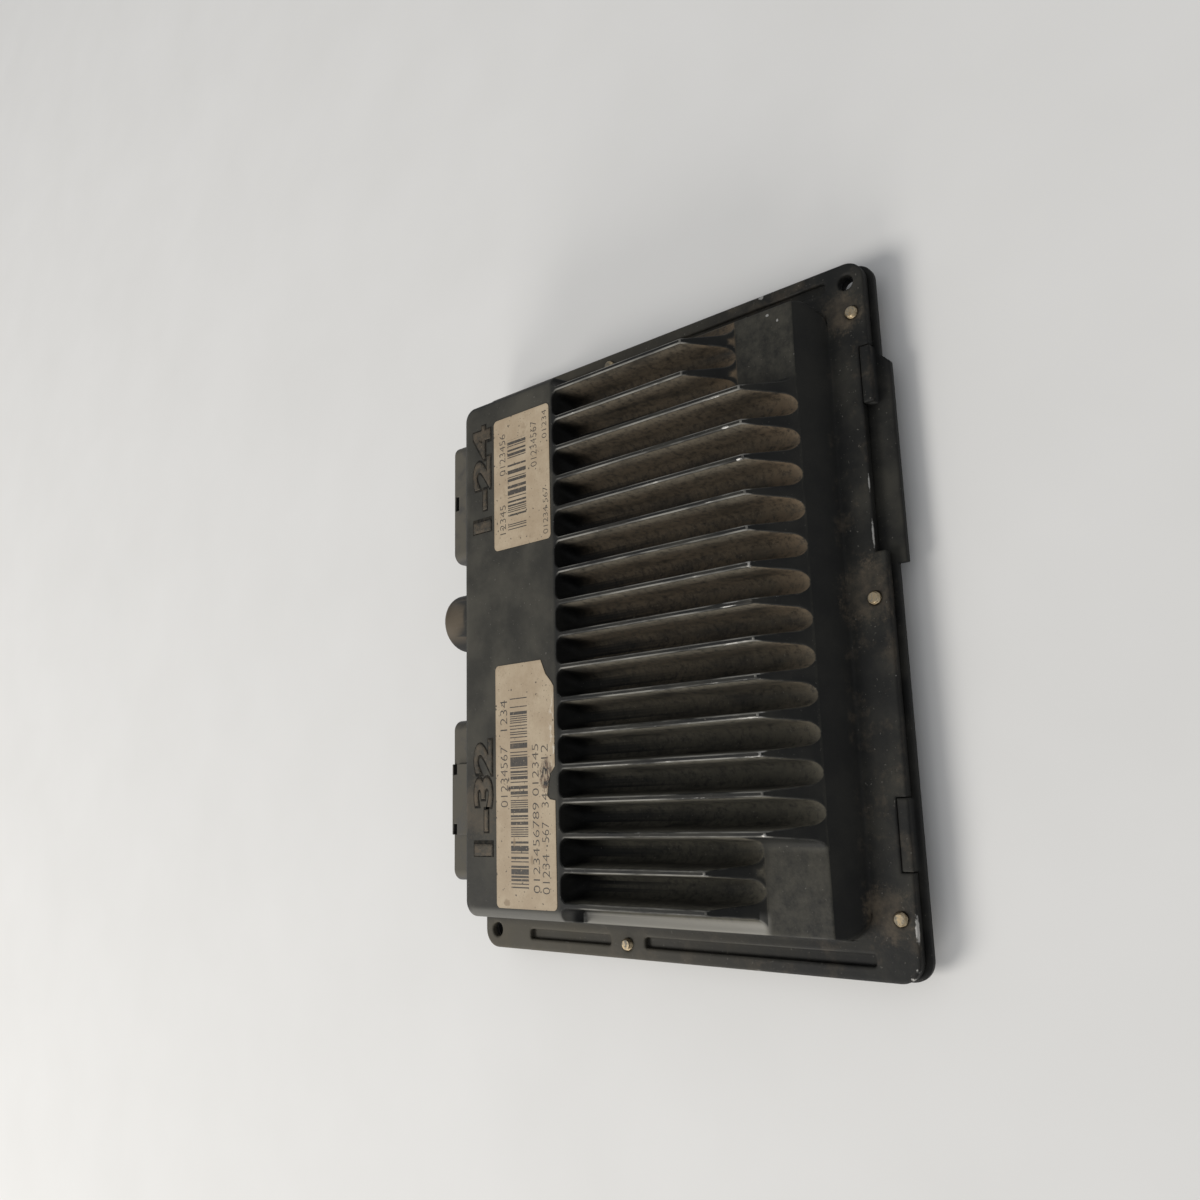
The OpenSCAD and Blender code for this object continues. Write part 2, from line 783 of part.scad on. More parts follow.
module header_24_pins() header_pins(header_24_x, header_24_columns);
module header_32_pins() header_pins(-header_32_x, header_32_columns);

module header_seal(x, w) {
    color([0.2, 0.2, 0.22]) along_y(y_collar, y_cavity_front) difference() {
        header_outline(x, w, collar_lip);
        header_outline(x, w, fit_gap);
    }
}

module header_24_seal() header_seal(header_24_x, header_24_w);
module header_32_seal() header_seal(-header_32_x, header_32_w);

// Board and what it carries

module board_pin_holes(x, columns) {
    for (i = [0:columns - 1], row = [0, 1])
        translate([pin_x(x, i, columns), pin_bend_y(row), z_board_low - over])
            cylinder(h = board_t + 2 * over, r = pin_hole_r);
}

module circuit_board() {
    color([0.1, 0.35, 0.18]) difference() {
        upright(z_board_low, z_board)
            rounded_rect(-board_half, board_half, y_board_back, y_board_front, board_r);
        drill(post_at, z_board_low - over, z_board + over, board_screw_d + 4 * fit_gap);
        board_pin_holes(header_24_x, header_24_columns);
        board_pin_holes(-header_32_x, header_32_columns);
    }
}

// Leads along the two X-wise edges of a package that is w wide in Y
module lead_rows(count, w) {
    for (i = [0:count - 1], side = [0, 1]) mirror([0, side, 0])
        translate([(i - (count - 1) / 2) * lead_pitch - lead_w / 2, w / 2 - over / 2, 0])
            cube([lead_w, lead_out + over / 2, lead_h]);
}

// Moulded package with bevelled upper edges
module package(l, w, h) {
    edge = w / 2 - package_bevel;
    translate([-l / 2, 0, package_lift]) rotate([90, 0, 90]) linear_extrude(l) polygon([
        [-w / 2, 0], [w / 2, 0], [w / 2, h - package_bevel], [edge, h],
        [-edge, h], [-w / 2, h - package_bevel]
    ]);
}

module small_outline_chip(leads) {
    package(leads * lead_pitch, soic_w, soic_h);
    lead_rows(leads, soic_w);
}

module on_board(at) {
    translate([at[0], at[1], z_board]) children();
}

module processor() {
    color([0.13, 0.13, 0.14]) on_board(processor_at) {
        package(processor_w, processor_w, processor_h);
        for (turn = [0, 90]) rotate(turn) lead_rows(processor_leads, processor_w);
    }
}

module memory_chip() {
    color([0.13, 0.13, 0.14]) on_board(memory_at) small_outline_chip(memory_leads);
}

module driver_chips() {
    color([0.13, 0.13, 0.14]) for (at = driver_at) on_board(at) small_outline_chip(driver_leads);
}

module interface_chips() {
    color([0.13, 0.13, 0.14]) for (at = interface_at) on_board(at) small_outline_chip(interface_leads);
}

// Pads on the driver chips, and behind the transistors on the block's rear wall
module thermal_pads() {
    length = driver_leads * lead_pitch;
    width = soic_w - 2 * package_bevel;
    z_chip_top = z_board + package_lift + soic_h;
    z_tab_low = z_board + transistor_lead_l;
    color([0.6, 0.6, 0.65]) {
        for (at = driver_at) translate([at[0] - length / 2, at[1] - width / 2, z_chip_top])
            cube([length, width, pad_t]);
        for (x = transistor_at) translate([x - transistor_w / 2, y_tall_back, z_tab_low])
            cube([transistor_w, pad_t, transistor_h]);
    }
}

// Upright transistors: metal tab against the wall, moulded body and three leads
module power_transistors() {
    body_part = 0.6;
    lead_spacing = 2.54;
    y_tab = y_tall_back + pad_t;
    color([0.2, 0.2, 0.2]) for (x = transistor_at)
        translate([x - transistor_w / 2, y_tab, z_board + transistor_lead_l]) {
            cube([transistor_w, transistor_tab_t, transistor_h]);
            cube([transistor_w, transistor_t, transistor_h * body_part]);
            for (i = [-1:1]) {
                lead_x = transistor_w / 2 + i * lead_spacing - lead_w / 2;
                translate([lead_x, transistor_tab_t, -transistor_lead_l])
                    cube([lead_w, lead_w, transistor_lead_l + over]);
            }
        }
}

module voltage_regulator() {
    size = regulator_size;
    tab_l = 2;
    color([0.16, 0.16, 0.17]) on_board(regulator_at) {
        translate([-size[0] / 2, -size[1] / 2, 0]) cube(size);
        translate([-size[0] / 2, size[1] / 2 - over, 0]) cube([size[0], tab_l + over, transistor_tab_t]);
    }
}

// Axial diode lying on the board between two bent leads
module suppressor_diode() {
    lead_d = 1;
    lead_reach = 2.5;
    axis_z = diode_d / 2;
    color([0.15, 0.15, 0.16]) on_board(diode_at) {
        translate([-diode_l / 2, 0, axis_z]) rotate([0, 90, 0]) cylinder(h = diode_l, d = diode_d);
        translate([-diode_l / 2 - lead_reach, 0, axis_z]) rotate([0, 90, 0])
            cylinder(h = diode_l + 2 * lead_reach, d = lead_d);
        for (side = [-1, 1]) translate([side * (diode_l / 2 + lead_reach - lead_d / 2), 0, 0])
            cylinder(h = axis_z, d = lead_d);
    }
}

// Cans with the rolled groove near the base
module electrolytic_capacitors() {
    groove_z = 2;
    groove_h = 0.8;
    groove_in = 0.4;
    color([0.12, 0.13, 0.2]) for (at = can_at) on_board(at) difference() {
        cylinder(h = can_h, d = can_d);
        translate([0, 0, groove_z]) difference() {
            cylinder(h = groove_h, d = can_d + over);
            cylinder(h = groove_h, d = can_d - 2 * groove_in);
        }
    }
}

// Wound ring with rounded edges
module choke_coil() {
    ring_w = choke_d / 4;
    round_r = 1;
    color([0.55, 0.3, 0.12]) on_board(choke_at) rotate_extrude()
        rounded_rect(choke_d / 2 - ring_w, choke_d / 2, 0, choke_h, round_r);
}

module crystal() {
    size = crystal_size;
    color([0.75, 0.75, 0.76]) on_board(crystal_at) upright(0, size[2])
        rounded_rect(-size[1] / 2, size[1] / 2, -size[0] / 2, size[0] / 2, crystal_end_r);
}

module box_group(places, size) {
    for (at = places) on_board(at) translate([-size[0] / 2, -size[1] / 2, 0]) cube(size);
}

module resistor_networks() {
    color([0.5, 0.15, 0.1]) box_group(network_at, network_size);
}

module chip_resistors() {
    color([0.1, 0.1, 0.1]) box_group(resistor_at, chip_resistor_size);
}

module chip_capacitors() {
    color([0.6, 0.5, 0.35]) box_group(capacitor_at, chip_capacitor_size);
}

// Stickers on the connector block

module label_plan(x, w) {
    y0 = y_mouth + label_inset;
    rounded_rect(x - w / 2, x + w / 2, y0, y0 + label_l, label_r);
}

module label_upper() {
    color([0.8, 0.75, 0.66]) upright(z_crest, z_crest + label_t) label_plan(label_upper_x, label_upper_w);
}

// The lower sticker has a torn corner and a torn bite at the grooves' ends
module label_lower() {
    tear_x = 10;
    tear_y = 5.6;
    bite_x = 30.9;
    bite_w = 11.2;
    bite_depth = 3.3;
    right = label_lower_w / 2 - label_lower_x;
    low = y_mouth + label_inset - over;
    color([0.8, 0.75, 0.66]) upright(z_crest, z_crest + label_t) difference() {
        label_plan(-label_lower_x, label_lower_w);
        polygon([
            [right + over, low + tear_y + over], [right - tear_x * 0.45, low + tear_y * 0.75],
            [right - tear_x * 0.7, low + tear_y * 0.35], [right - tear_x, low], [right + over, low]
        ]);
        polygon([
            [right - bite_x - bite_w, low], [right - bite_x - bite_w * 0.95, low + bite_depth * 0.65 + over],
            [right - bite_x - bite_w * 0.85, low + bite_depth + over],
            [right - bite_x - bite_w * 0.3, low + bite_depth * 0.6 + over], [right - bite_x, low]
        ]);
    }
}

housing();
base_cover();
cover_gasket();
cover_screws();
header_24_shell();
header_32_shell();
header_24_pins();
header_32_pins();
header_24_seal();
header_32_seal();
circuit_board();
board_screws();
processor();
memory_chip();
driver_chips();
interface_chips();
thermal_pads();
power_transistors();
voltage_regulator();
suppressor_diode();
electrolytic_capacitors();
choke_coil();
crystal();
resistor_networks();
chip_resistors();
chip_capacitors();
label_upper();
label_lower();
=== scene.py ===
# %% [markdown]
# # Dressing a finned engine control unit
# An engine control unit is a sealed metal box that runs a vehicle's engine. This one is a black die
# casting with cooling fins, closed from below by a screwed cover, with two plastic plug headers at one
# end. The solids come from a CAD model and stay where they are. This lesson gives them soft cast edges,
# worn paint, dust, printed stickers and threaded screws, and lights them on a pale floor.

import math

import bmesh
import bpy
from mathutils import Matrix, Vector


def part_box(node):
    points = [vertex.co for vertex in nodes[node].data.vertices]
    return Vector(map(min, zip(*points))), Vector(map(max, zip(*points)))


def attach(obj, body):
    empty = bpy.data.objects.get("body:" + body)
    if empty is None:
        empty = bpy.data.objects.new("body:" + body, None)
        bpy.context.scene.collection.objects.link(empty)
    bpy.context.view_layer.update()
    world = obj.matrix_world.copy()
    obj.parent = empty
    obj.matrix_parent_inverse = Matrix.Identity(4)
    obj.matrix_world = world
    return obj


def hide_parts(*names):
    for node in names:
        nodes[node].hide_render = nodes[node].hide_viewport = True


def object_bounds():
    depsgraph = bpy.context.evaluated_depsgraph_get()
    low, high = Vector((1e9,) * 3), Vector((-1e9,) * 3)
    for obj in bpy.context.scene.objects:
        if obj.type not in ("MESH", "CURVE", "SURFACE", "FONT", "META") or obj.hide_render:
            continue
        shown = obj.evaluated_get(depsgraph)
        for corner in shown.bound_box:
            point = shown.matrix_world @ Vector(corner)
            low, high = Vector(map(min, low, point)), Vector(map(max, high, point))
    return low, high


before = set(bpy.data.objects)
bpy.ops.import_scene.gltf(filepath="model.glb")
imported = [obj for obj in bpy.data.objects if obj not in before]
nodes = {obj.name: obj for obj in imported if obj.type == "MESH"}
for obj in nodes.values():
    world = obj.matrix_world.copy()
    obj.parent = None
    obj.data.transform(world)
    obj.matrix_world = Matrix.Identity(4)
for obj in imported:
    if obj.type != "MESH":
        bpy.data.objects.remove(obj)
cad_low, cad_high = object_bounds()
MM = 0.001
print(len(nodes), "solids, box", [round(v / MM, 1) for v in cad_high - cad_low], "mm")

# %% [markdown]
# ## The camera
# The picture is taken from the rear of the unit, from above and turned, so that the fins run across it.
# The camera could be placed by eye. Here it was solved from the fin crests and the flange, which gives
# its place, its two axes and its focal length, and those few numbers are all that Blender needs.

# %% Place the camera
EYE = Vector((-51.2, -183.6, 254.4)) * MM
PICTURE_RIGHT = Vector((-0.0270, -0.7615, -0.6476))
PICTURE_UP = Vector((0.9797, -0.1489, 0.1343))
FOCAL_LENGTH = 30.68
SENSOR_WIDTH = 36.0
NEAREST_SEEN = 10 * MM

towards_eye = PICTURE_RIGHT.cross(PICTURE_UP).normalized()
picture_up = towards_eye.cross(PICTURE_RIGHT).normalized()
turn = Matrix((PICTURE_RIGHT.normalized(), picture_up, towards_eye)).transposed()
camera_data = bpy.data.cameras.new("photo_camera")
camera_data.lens = FOCAL_LENGTH
camera_data.sensor_width = SENSOR_WIDTH
camera_data.clip_start = NEAREST_SEEN
camera = bpy.data.objects.new("photo_camera", camera_data)
camera.matrix_world = Matrix.Translation(EYE) @ turn.to_4x4()
bpy.context.scene.collection.objects.link(camera)
bpy.context.scene.camera = camera
print("camera looks along", [round(v, 3) for v in -towards_eye])

# %% [markdown]
# ## Small helpers for shader nodes
# A node tree built in a script gets long if every node takes four lines. These helpers add one node,
# fill its sockets with numbers or with other nodes' outputs, and hand back the output that the next step
# needs.


# %% Shader helpers
def fill(tree, socket, value):
    """Give an input socket a fixed value, or link another node's output to it."""
    if isinstance(value, bpy.types.NodeSocket):
        tree.links.new(value, socket)
    else:
        socket.default_value = value


def add_node(tree, kind, sockets=None, **settings):
    """Add a shader node, set its properties and fill its sockets."""
    made = tree.nodes.new("ShaderNode" + kind)
    for name, value in settings.items():
        setattr(made, name, value)
    for key, value in (sockets or {}).items():
        fill(tree, made.inputs[key], value)
    return made


def calc(tree, operation, first, second=0.0):
    """One arithmetic step on two numbers."""
    return add_node(tree, "Math", {0: first, 1: second}, operation=operation).outputs[0]


def fade(tree, value, start, end):
    """Ease from 0 at start to 1 at end."""
    sockets = {"Value": value, "From Min": start, "From Max": end}
    return add_node(tree, "MapRange", sockets, interpolation_type="SMOOTHSTEP").outputs[0]


def span(tree, value, low, high, soft):
    """1 between low and high, 0 outside, with soft ends."""
    rise = fade(tree, value, low - soft, low + soft)
    fall = fade(tree, value, high + soft, high - soft)
    return calc(tree, "MULTIPLY", rise, fall)


def mixed(tree, factor, below, above):
    """Mix two colours."""
    made = add_node(tree, "Mix", {0: factor, 6: below, 7: above}, data_type="RGBA")
    return made.outputs[2]


def mixed_value(tree, factor, below, above):
    """Mix two numbers."""
    return add_node(tree, "Mix", {0: factor, 2: below, 3: above}, data_type="FLOAT").outputs[0]


def mixed_vector(tree, factor, below, above):
    """Mix two directions."""
    return add_node(tree, "Mix", {0: factor, 4: below, 5: above}, data_type="VECTOR").outputs[1]


def noise(tree, place, grain, detail=3.0, roughness=0.55):
    """Cloudy noise whose blotches are about grain millimetres across."""
    sockets = {"Vector": place, "Scale": 1 / grain, "Detail": detail, "Roughness": roughness}
    return add_node(tree, "TexNoise", sockets).outputs[0]


def stretched(tree, place, factors):
    """Squeeze or stretch the pattern space along its axes."""
    made = add_node(tree, "VectorMath", {0: place, 1: factors}, operation="MULTIPLY")
    return made.outputs[0]


def bump(tree, height, depth, base=None):
    """Bump of the given depth in millimetres."""
    sockets = {"Height": height, "Distance": depth * MM, "Strength": 1.0}
    if base is not None:
        sockets["Normal"] = base
    return add_node(tree, "Bump", sockets).outputs[0]


def new_finish(name):
    """A material with its tree, its main shader and its place in millimetres."""
    material = bpy.data.materials.new(name)
    material.use_nodes = True
    tree = material.node_tree
    shader = tree.nodes["Principled BSDF"]
    coords = add_node(tree, "TexCoord").outputs["Object"]
    place = add_node(tree, "VectorMath", {0: coords, "Scale": 1 / MM}, operation="SCALE").outputs[0]
    return material, tree, shader, place


def split(tree, place):
    """The three coordinates of a place."""
    made = add_node(tree, "SeparateXYZ", {0: place})
    return made.outputs[0], made.outputs[1], made.outputs[2]


print("shader helpers ready")

# %% [markdown]
# ## Pale floor and soft light
# The unit lies on a plain pale floor. The light comes from beyond its plug end and from one side, so the
# grooves are dark where the fins begin and the rear wall is in shade. One large area lamp stands there.
# A second one stands low at that side, like a window, and skims the fins, so that each wall is brightest
# just under its crest. A dim even world fills the shadows. Together they light a level surface at about
# the strength of its own colour.

# %% Floor, lamps and world
FLOOR_SIZE = 8.0
LAMP_DISTANCE = 2.6
LAMP_SIZE = 1.2
LAMPS = {"key_lamp": ((-0.42, 0.68, 0.73), 38.0), "window_lamp": ((-1.0, 0.25, 0.36), 30.0)}
LAMP_TINT = (1.0, 0.97, 0.92)
WORLD_STRENGTH = 0.45
WORLD_TINT = (0.95, 0.97, 1.0, 1)
FLOOR_DARK = (0.70, 0.695, 0.68, 1)
FLOOR_LIGHT = (0.76, 0.755, 0.745, 1)

floor_mesh = bpy.data.meshes.new("floor")
half = FLOOR_SIZE / 2
corners = [(-half, -half, 0), (half, -half, 0), (half, half, 0), (-half, half, 0)]
floor_mesh.from_pydata(corners, [], [(0, 1, 2, 3)])
floor = bpy.data.objects.new("floor", floor_mesh)
bpy.context.scene.collection.objects.link(floor)

pale_floor, tree, shader, place = new_finish("pale_floor")
fill(tree, shader.inputs["Base Color"], mixed(tree, noise(tree, place, 60), FLOOR_DARK, FLOOR_LIGHT))
fill(tree, shader.inputs["Roughness"], 0.7)
floor_mesh.materials.append(pale_floor)

for lamp_name, (direction, power) in LAMPS.items():
    lamp_data = bpy.data.lights.new(lamp_name, "AREA")
    lamp_data.shape = "DISK"
    lamp_data.size = LAMP_SIZE
    lamp_data.energy = power
    lamp_data.color = LAMP_TINT
    lamp = bpy.data.objects.new(lamp_name, lamp_data)
    aim = Vector(direction).normalized()
    lamp.location = aim * LAMP_DISTANCE
    lamp.rotation_euler = aim.to_track_quat("Z", "Y").to_euler()
    bpy.context.scene.collection.objects.link(lamp)
    print(lamp_name, "at", [round(v, 2) for v in lamp.location])

world = bpy.data.worlds.new("soft_room")
world.use_nodes = True
sky = world.node_tree.nodes["Background"]
sky.inputs["Color"].default_value = WORLD_TINT
sky.inputs["Strength"].default_value = WORLD_STRENGTH
bpy.context.scene.world = world
bpy.context.scene.view_settings.view_transform = "Standard"

# %% [markdown]
# ## Worn black paint
# The casting was painted satin black. Years under a bonnet left road dust in the grooves, thickest at
# the grooves' open ends, and bare aluminium where edges were rubbed. The wear could be painted on an
# image. Here the shader reads the place in millimetres instead, so dust can follow height and length,
# and no image is needed. The places on the casting and the tones come first.

# %% Places and tones
CREST_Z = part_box("label_upper")[0].z / MM
FLANGE_Z = 9.9
GROOVE_Z = 20.0
GROOVE_MOUTH_Y = 21.8
LONG_TIP_Y = -58.0
SHORT_TIP_Y = -39.5
LEDGE_X = 59.3
END_WALL_Y = 63.7
GREY_TO_BROWN_X = (-45.0, 15.0)
DARKER_WALLS_X = (20.0, 70.0)
FLANGE_SIDE_X = (84.0, 88.0)
# Where the near side gets its painted highlight, in millimetres across the unit
HIGHLIGHT_STRIP_X = (-78.0, -80.5)
HIGHLIGHT_SHOULDER_X = (-79.5, -82.0)
PAINT = (0.0085, 0.0088, 0.0084, 1)
PAINT_GREY = (0.0205, 0.020, 0.0175, 1)
PAINT_SHINE = 0.2
COAT_RADIUS = 1.2
# Grey of rubbed paint, also the tone of the painted highlight on the near side
RUBBED_PAINT_AND_HIGHLIGHT = (0.30, 0.29, 0.262, 1)
GREY_DUST = (0.072, 0.067, 0.052, 1)
BROWN_DUST = (0.108, 0.085, 0.059, 1)
GREY_TAN = (0.13, 0.115, 0.085, 1)
TAN_DUST = (0.205, 0.147, 0.092, 1)
SPECKS = (0.17, 0.16, 0.14, 1)
WALL_DUST_AND_HIGHLIGHT = (0.15, 0.14, 0.112, 1)
PLATE_DUST_AND_SHEEN = (0.098, 0.092, 0.074, 1)
BARE_METAL = (0.42, 0.41, 0.39, 1)
print("crests at", round(CREST_Z, 2), "mm, groove ends at", GROOVE_Z, "mm, flange at", FLANGE_Z, "mm")

# %% [markdown]
# ## Single marks
# Some wear has one cause and one place, such as a knock on a crest or a patch of dust round a screw.
# Each is a middle and three half sizes. A shader can tell how far a point is from that middle, and noise
# added to the distance makes the outline ragged.

# %% Rubbed marks and dusty patches
# Middles and half sizes of single rubbed marks, in millimetres
RUBBED_MARKS = [
    ((-82.2, -74.9, 9.7), (4.2, 0.8, 0.9)),
    ((-91.6, -74.0, 9.3), (0.9, 0.7, 0.9)),
    ((-93.6, -72.6, 9.3), (0.7, 0.8, 0.9)),
    ((17.0, -71.9, 9.8), (4.5, 0.4, 0.4)),
    ((31.0, -71.9, 9.8), (3.0, 0.3, 0.4)),
    ((82.5, -50.5, 20.0), (0.5, 0.7, 0.5)),
    ((80.0, -53.5, 20.0), (0.5, 0.5, 0.5)),
    ((94.5, -43.0, 9.9), (0.8, 1.2, 0.5)),
    ((38.7, -45.5, 30.9), (0.5, 1.2, 0.8)),
    ((48.6, -42.0, 31.2), (0.35, 1.4, 0.5)),
    ((9.3, -46.4, 30.4), (0.45, 0.9, 0.7)),
    ((-59.2, -46.6, 31.2), (0.5, 0.9, 0.6)),
]
# Middles and radii of the dusty patches on the flange and on the connector block
DUSTY_PATCHES = [
    ((2.0, -69.5, FLANGE_Z), 11.0),
    ((-79.0, -67.5, FLANGE_Z), 9.0),
    ((81.0, -68.0, FLANGE_Z), 8.0),
    ((-50.0, 56.5, CREST_Z), 12.0),
]


def near(tree, place, middle, sizes):
    """1 at a middle, 0 beyond a ragged ellipsoid of the given half sizes."""
    offset = add_node(tree, "VectorMath", {0: place, 1: middle}, operation="SUBTRACT").outputs[0]
    scaled = stretched(tree, offset, [1 / s for s in sizes])
    length = add_node(tree, "VectorMath", {0: scaled}, operation="LENGTH").outputs["Value"]
    ragged = calc(tree, "MULTIPLY", noise(tree, place, 1.1, 4.0, 0.7), 1.4)
    return fade(tree, calc(tree, "ADD", length, ragged), 1.6, 1.2)


print(len(RUBBED_MARKS), "rubbed marks and", len(DUSTY_PATCHES), "dusty patches")

# %% [markdown]
# ## Dust in the grooves
# Dust settles on whatever does not face down. It covers the groove floors and walls in clouds, stops
# short of the crests, and gets thicker and browner at the open ends. Towards the groove mouths it fades
# out, which leaves a painted shade there. A pale tone on the upper walls is partly dust and partly a
# painted highlight, brightest just under the crests. Each condition is a share from 0 to 1, and the
# shares are multiplied.


# %% Dust in the grooves
def facing(tree):
    """The direction that the surface faces, as three numbers."""
    return split(tree, add_node(tree, "NewGeometry").outputs["Normal"])


def product(tree, first, *others):
    """Several shares multiplied."""
    result = first
    for other in others:
        result = calc(tree, "MULTIPLY", result, other)
    return result


def laid(tree, look, share, strength, tone):
    """A tone laid over a look, as thick as a share and a strength say."""
    return mixed(tree, calc(tree, "MULTIPLY", share, strength), look, tone)


def groove_dust(tree, place):
    """Shares of dust in the grooves: all along them, fading out towards the mouths as a painted shade; on
    their upper walls, partly a painted highlight under the crests; and at their open ends.
    """
    x, y, z = split(tree, place)
    direction = facing(tree)
    settled = product(tree, fade(tree, direction[2], -0.4, 0.0), fade(tree, direction[1], -0.55, -0.25))
    above_floor = fade(tree, z, GROOVE_Z - 0.6, GROOVE_Z - 0.1)
    below_crest = fade(tree, z, CREST_Z - 0.3, CREST_Z - 0.8)
    outer = fade(tree, calc(tree, "ABSOLUTE", x), LEDGE_X - 0.4, LEDGE_X + 0.4)
    past_short_tip = fade(tree, y, SHORT_TIP_Y + 0.4, SHORT_TIP_Y - 0.4)
    off_ledge = calc(tree, "SUBTRACT", 1.0, product(tree, outer, past_short_tip))
    cloud = noise(tree, stretched(tree, place, (1.0, 0.3, 1.0)), 7.0, 5.0, 0.65)
    mottled = noise(tree, place, 1.6, 4.0, 0.7)
    patchy = product(tree, fade(tree, cloud, 0.2, 0.6), fade(tree, mottled, 0.2, 0.6))
    lying = product(tree, above_floor, settled, below_crest, off_ledge, patchy)
    # Dust fades out towards the mouth, so the groove ends stay dark: a painted shade
    along = product(tree, lying, fade(tree, y, GROOVE_MOUTH_Y + 0.5, GROOVE_MOUTH_Y - 8))
    # The upper walls get a pale tone that is partly dust and partly a painted highlight under the crests
    upper = fade(tree, z, CREST_Z - 6.0, CREST_Z - 0.4)
    long_tip = fade(tree, y, LONG_TIP_Y + 15, LONG_TIP_Y + 0.5)
    short_tip = fade(tree, y, SHORT_TIP_Y + 12, SHORT_TIP_Y + 0.5)
    at_tip = product(tree, lying, mixed_value(tree, outer, long_tip, short_tip))
    return along, product(tree, along, upper), at_tip


def dusty_grooves(tree, place, look, along, upper_wall_dust_and_light, at_tip):
    """Groove dust over a look: grey on one side of the unit, brown on the other, and a pale tone on the
    upper walls that is dust and a painted highlight.
    """
    x = split(tree, place)[0]
    brown = fade(tree, x, *GREY_TO_BROWN_X)
    look = laid(tree, look, along, 0.95, mixed(tree, brown, GREY_DUST, BROWN_DUST))
    wall_strength = mixed_value(tree, fade(tree, x, *DARKER_WALLS_X), 0.7, 0.3)
    look = laid(tree, look, upper_wall_dust_and_light, wall_strength, WALL_DUST_AND_HIGHLIGHT)
    return laid(tree, look, at_tip, 0.5, mixed(tree, brown, GREY_TAN, TAN_DUST))


print("groove dust ready")

# %% [markdown]
# ## Dust on the open faces
# A thin film lies on every level face. The corner ledges and the connector block are dustier, and the
# block's tone also carries a painted sheen. The flange has brown drifts, and grey dust along its sides
# that also serves as a painted highlight on the outer lip. The unit's near side has a painted highlight,
# a pale strip and shoulder where the light catches the edge. These could be one noise for the whole
# casting, but then the dust would not know where hands and air reach. Each face gets its own share here.


# %% Dust on the open faces
def dusty_levels(tree, place, look, blotch, level):
    """A film on level faces, smears on the corner ledges, and on the connector block dust with a painted
    sheen in its tone.
    """
    x, y, z = split(tree, place)
    look = laid(tree, look, product(tree, level, fade(tree, blotch, 0.4, 0.8)), 0.3, GREY_DUST)
    ledge = span(tree, z, GROOVE_Z - 0.3, GROOVE_Z + 0.3, 0.2)
    ledge = product(tree, level, ledge, fade(tree, y, SHORT_TIP_Y + 1.0, SHORT_TIP_Y - 0.5))
    smeared = fade(tree, noise(tree, place, 4.0, 5.0, 0.7), 0.25, 0.75)
    look = laid(tree, look, product(tree, ledge, smeared), 0.6, GREY_DUST)
    # The block's extra pale tone is dust and a painted sheen
    block = fade(tree, y, GROOVE_MOUTH_Y - 0.3, GROOVE_MOUTH_Y + 1.2)
    block = product(tree, level, fade(tree, z, CREST_Z - 0.4, CREST_Z - 0.1), block)
    block_strength = mixed_value(tree, fade(tree, blotch, 0.3, 0.7), 0.22, 0.42)
    return laid(tree, look, block, block_strength, PLATE_DUST_AND_SHEEN)


def dusty_flange(tree, place, look, patch):
    """Brown drifts on the flange, and along its two sides grey dust that also serves as a painted
    highlight on the outer lip.
    """
    x, y, z = split(tree, place)
    on_flange = span(tree, z, FLANGE_Z - 1.6, FLANGE_Z + 2.5, 0.6)
    look = laid(tree, look, product(tree, on_flange, fade(tree, patch, 0.5, 0.72)), 0.35, BROWN_DUST)
    # The grey along both sides also serves as a painted highlight on the flange's outer lip
    side = fade(tree, calc(tree, "ABSOLUTE", x), *FLANGE_SIDE_X)
    return laid(tree, look, product(tree, on_flange, side, fade(tree, y, -60.0, 60.0)), 0.5, GREY_TAN)


def painted_highlight_side(tree, place, look, level):
    """A painted highlight: the near side's strip beside the last groove, and its shoulder, made pale
    where the light catches them.
    """
    x, y, z = split(tree, place)
    low_step = span(tree, z, GROOVE_Z - 0.4, GROOVE_Z + 1.5, 0.2)
    before_tip = fade(tree, y, SHORT_TIP_Y - 1.5, SHORT_TIP_Y + 1.5)
    strip = product(tree, level, fade(tree, x, *HIGHLIGHT_STRIP_X), low_step, before_tip, 0.75)
    shoulder = product(tree, fade(tree, x, *HIGHLIGHT_SHOULDER_X), fade(tree, z, 24.0, 28.0), 0.35)
    return mixed(tree, calc(tree, "ADD", strip, shoulder), look, RUBBED_PAINT_AND_HIGHLIGHT)


def dusty_spots(tree, place, look, patch, level):
    """Dust on the bolt boss, the single dusty patches, and fine specks."""
    x, y, z = split(tree, place)
    boss = product(tree, level, fade(tree, y, END_WALL_Y - 0.5, END_WALL_Y + 1), fade(tree, z, 12, 15))
    look = laid(tree, look, boss, 0.8, BROWN_DUST)
    for middle, radius in DUSTY_PATCHES:
        spot = near(tree, place, middle, (radius, radius, radius * 0.5))
        look = laid(tree, look, product(tree, spot, fade(tree, patch, 0.3, 0.7)), 0.6, BROWN_DUST)
    specks = product(tree, fade(tree, noise(tree, place, 0.8, 2.0), 0.68, 0.76), level)
    return laid(tree, look, specks, 0.5, SPECKS)


print("dust on open faces ready")

# %% [markdown]
# ## Rubbed edges and bare metal
# Paint goes first where hands and tools touch: along the fin crests and on outward edges. There it turns
# grey, and in places it is gone. Noise stretched along the fins breaks the wear into dashes. The round
# shoulder at the fins' rear ends and the groove mouths are out of reach and stay black.


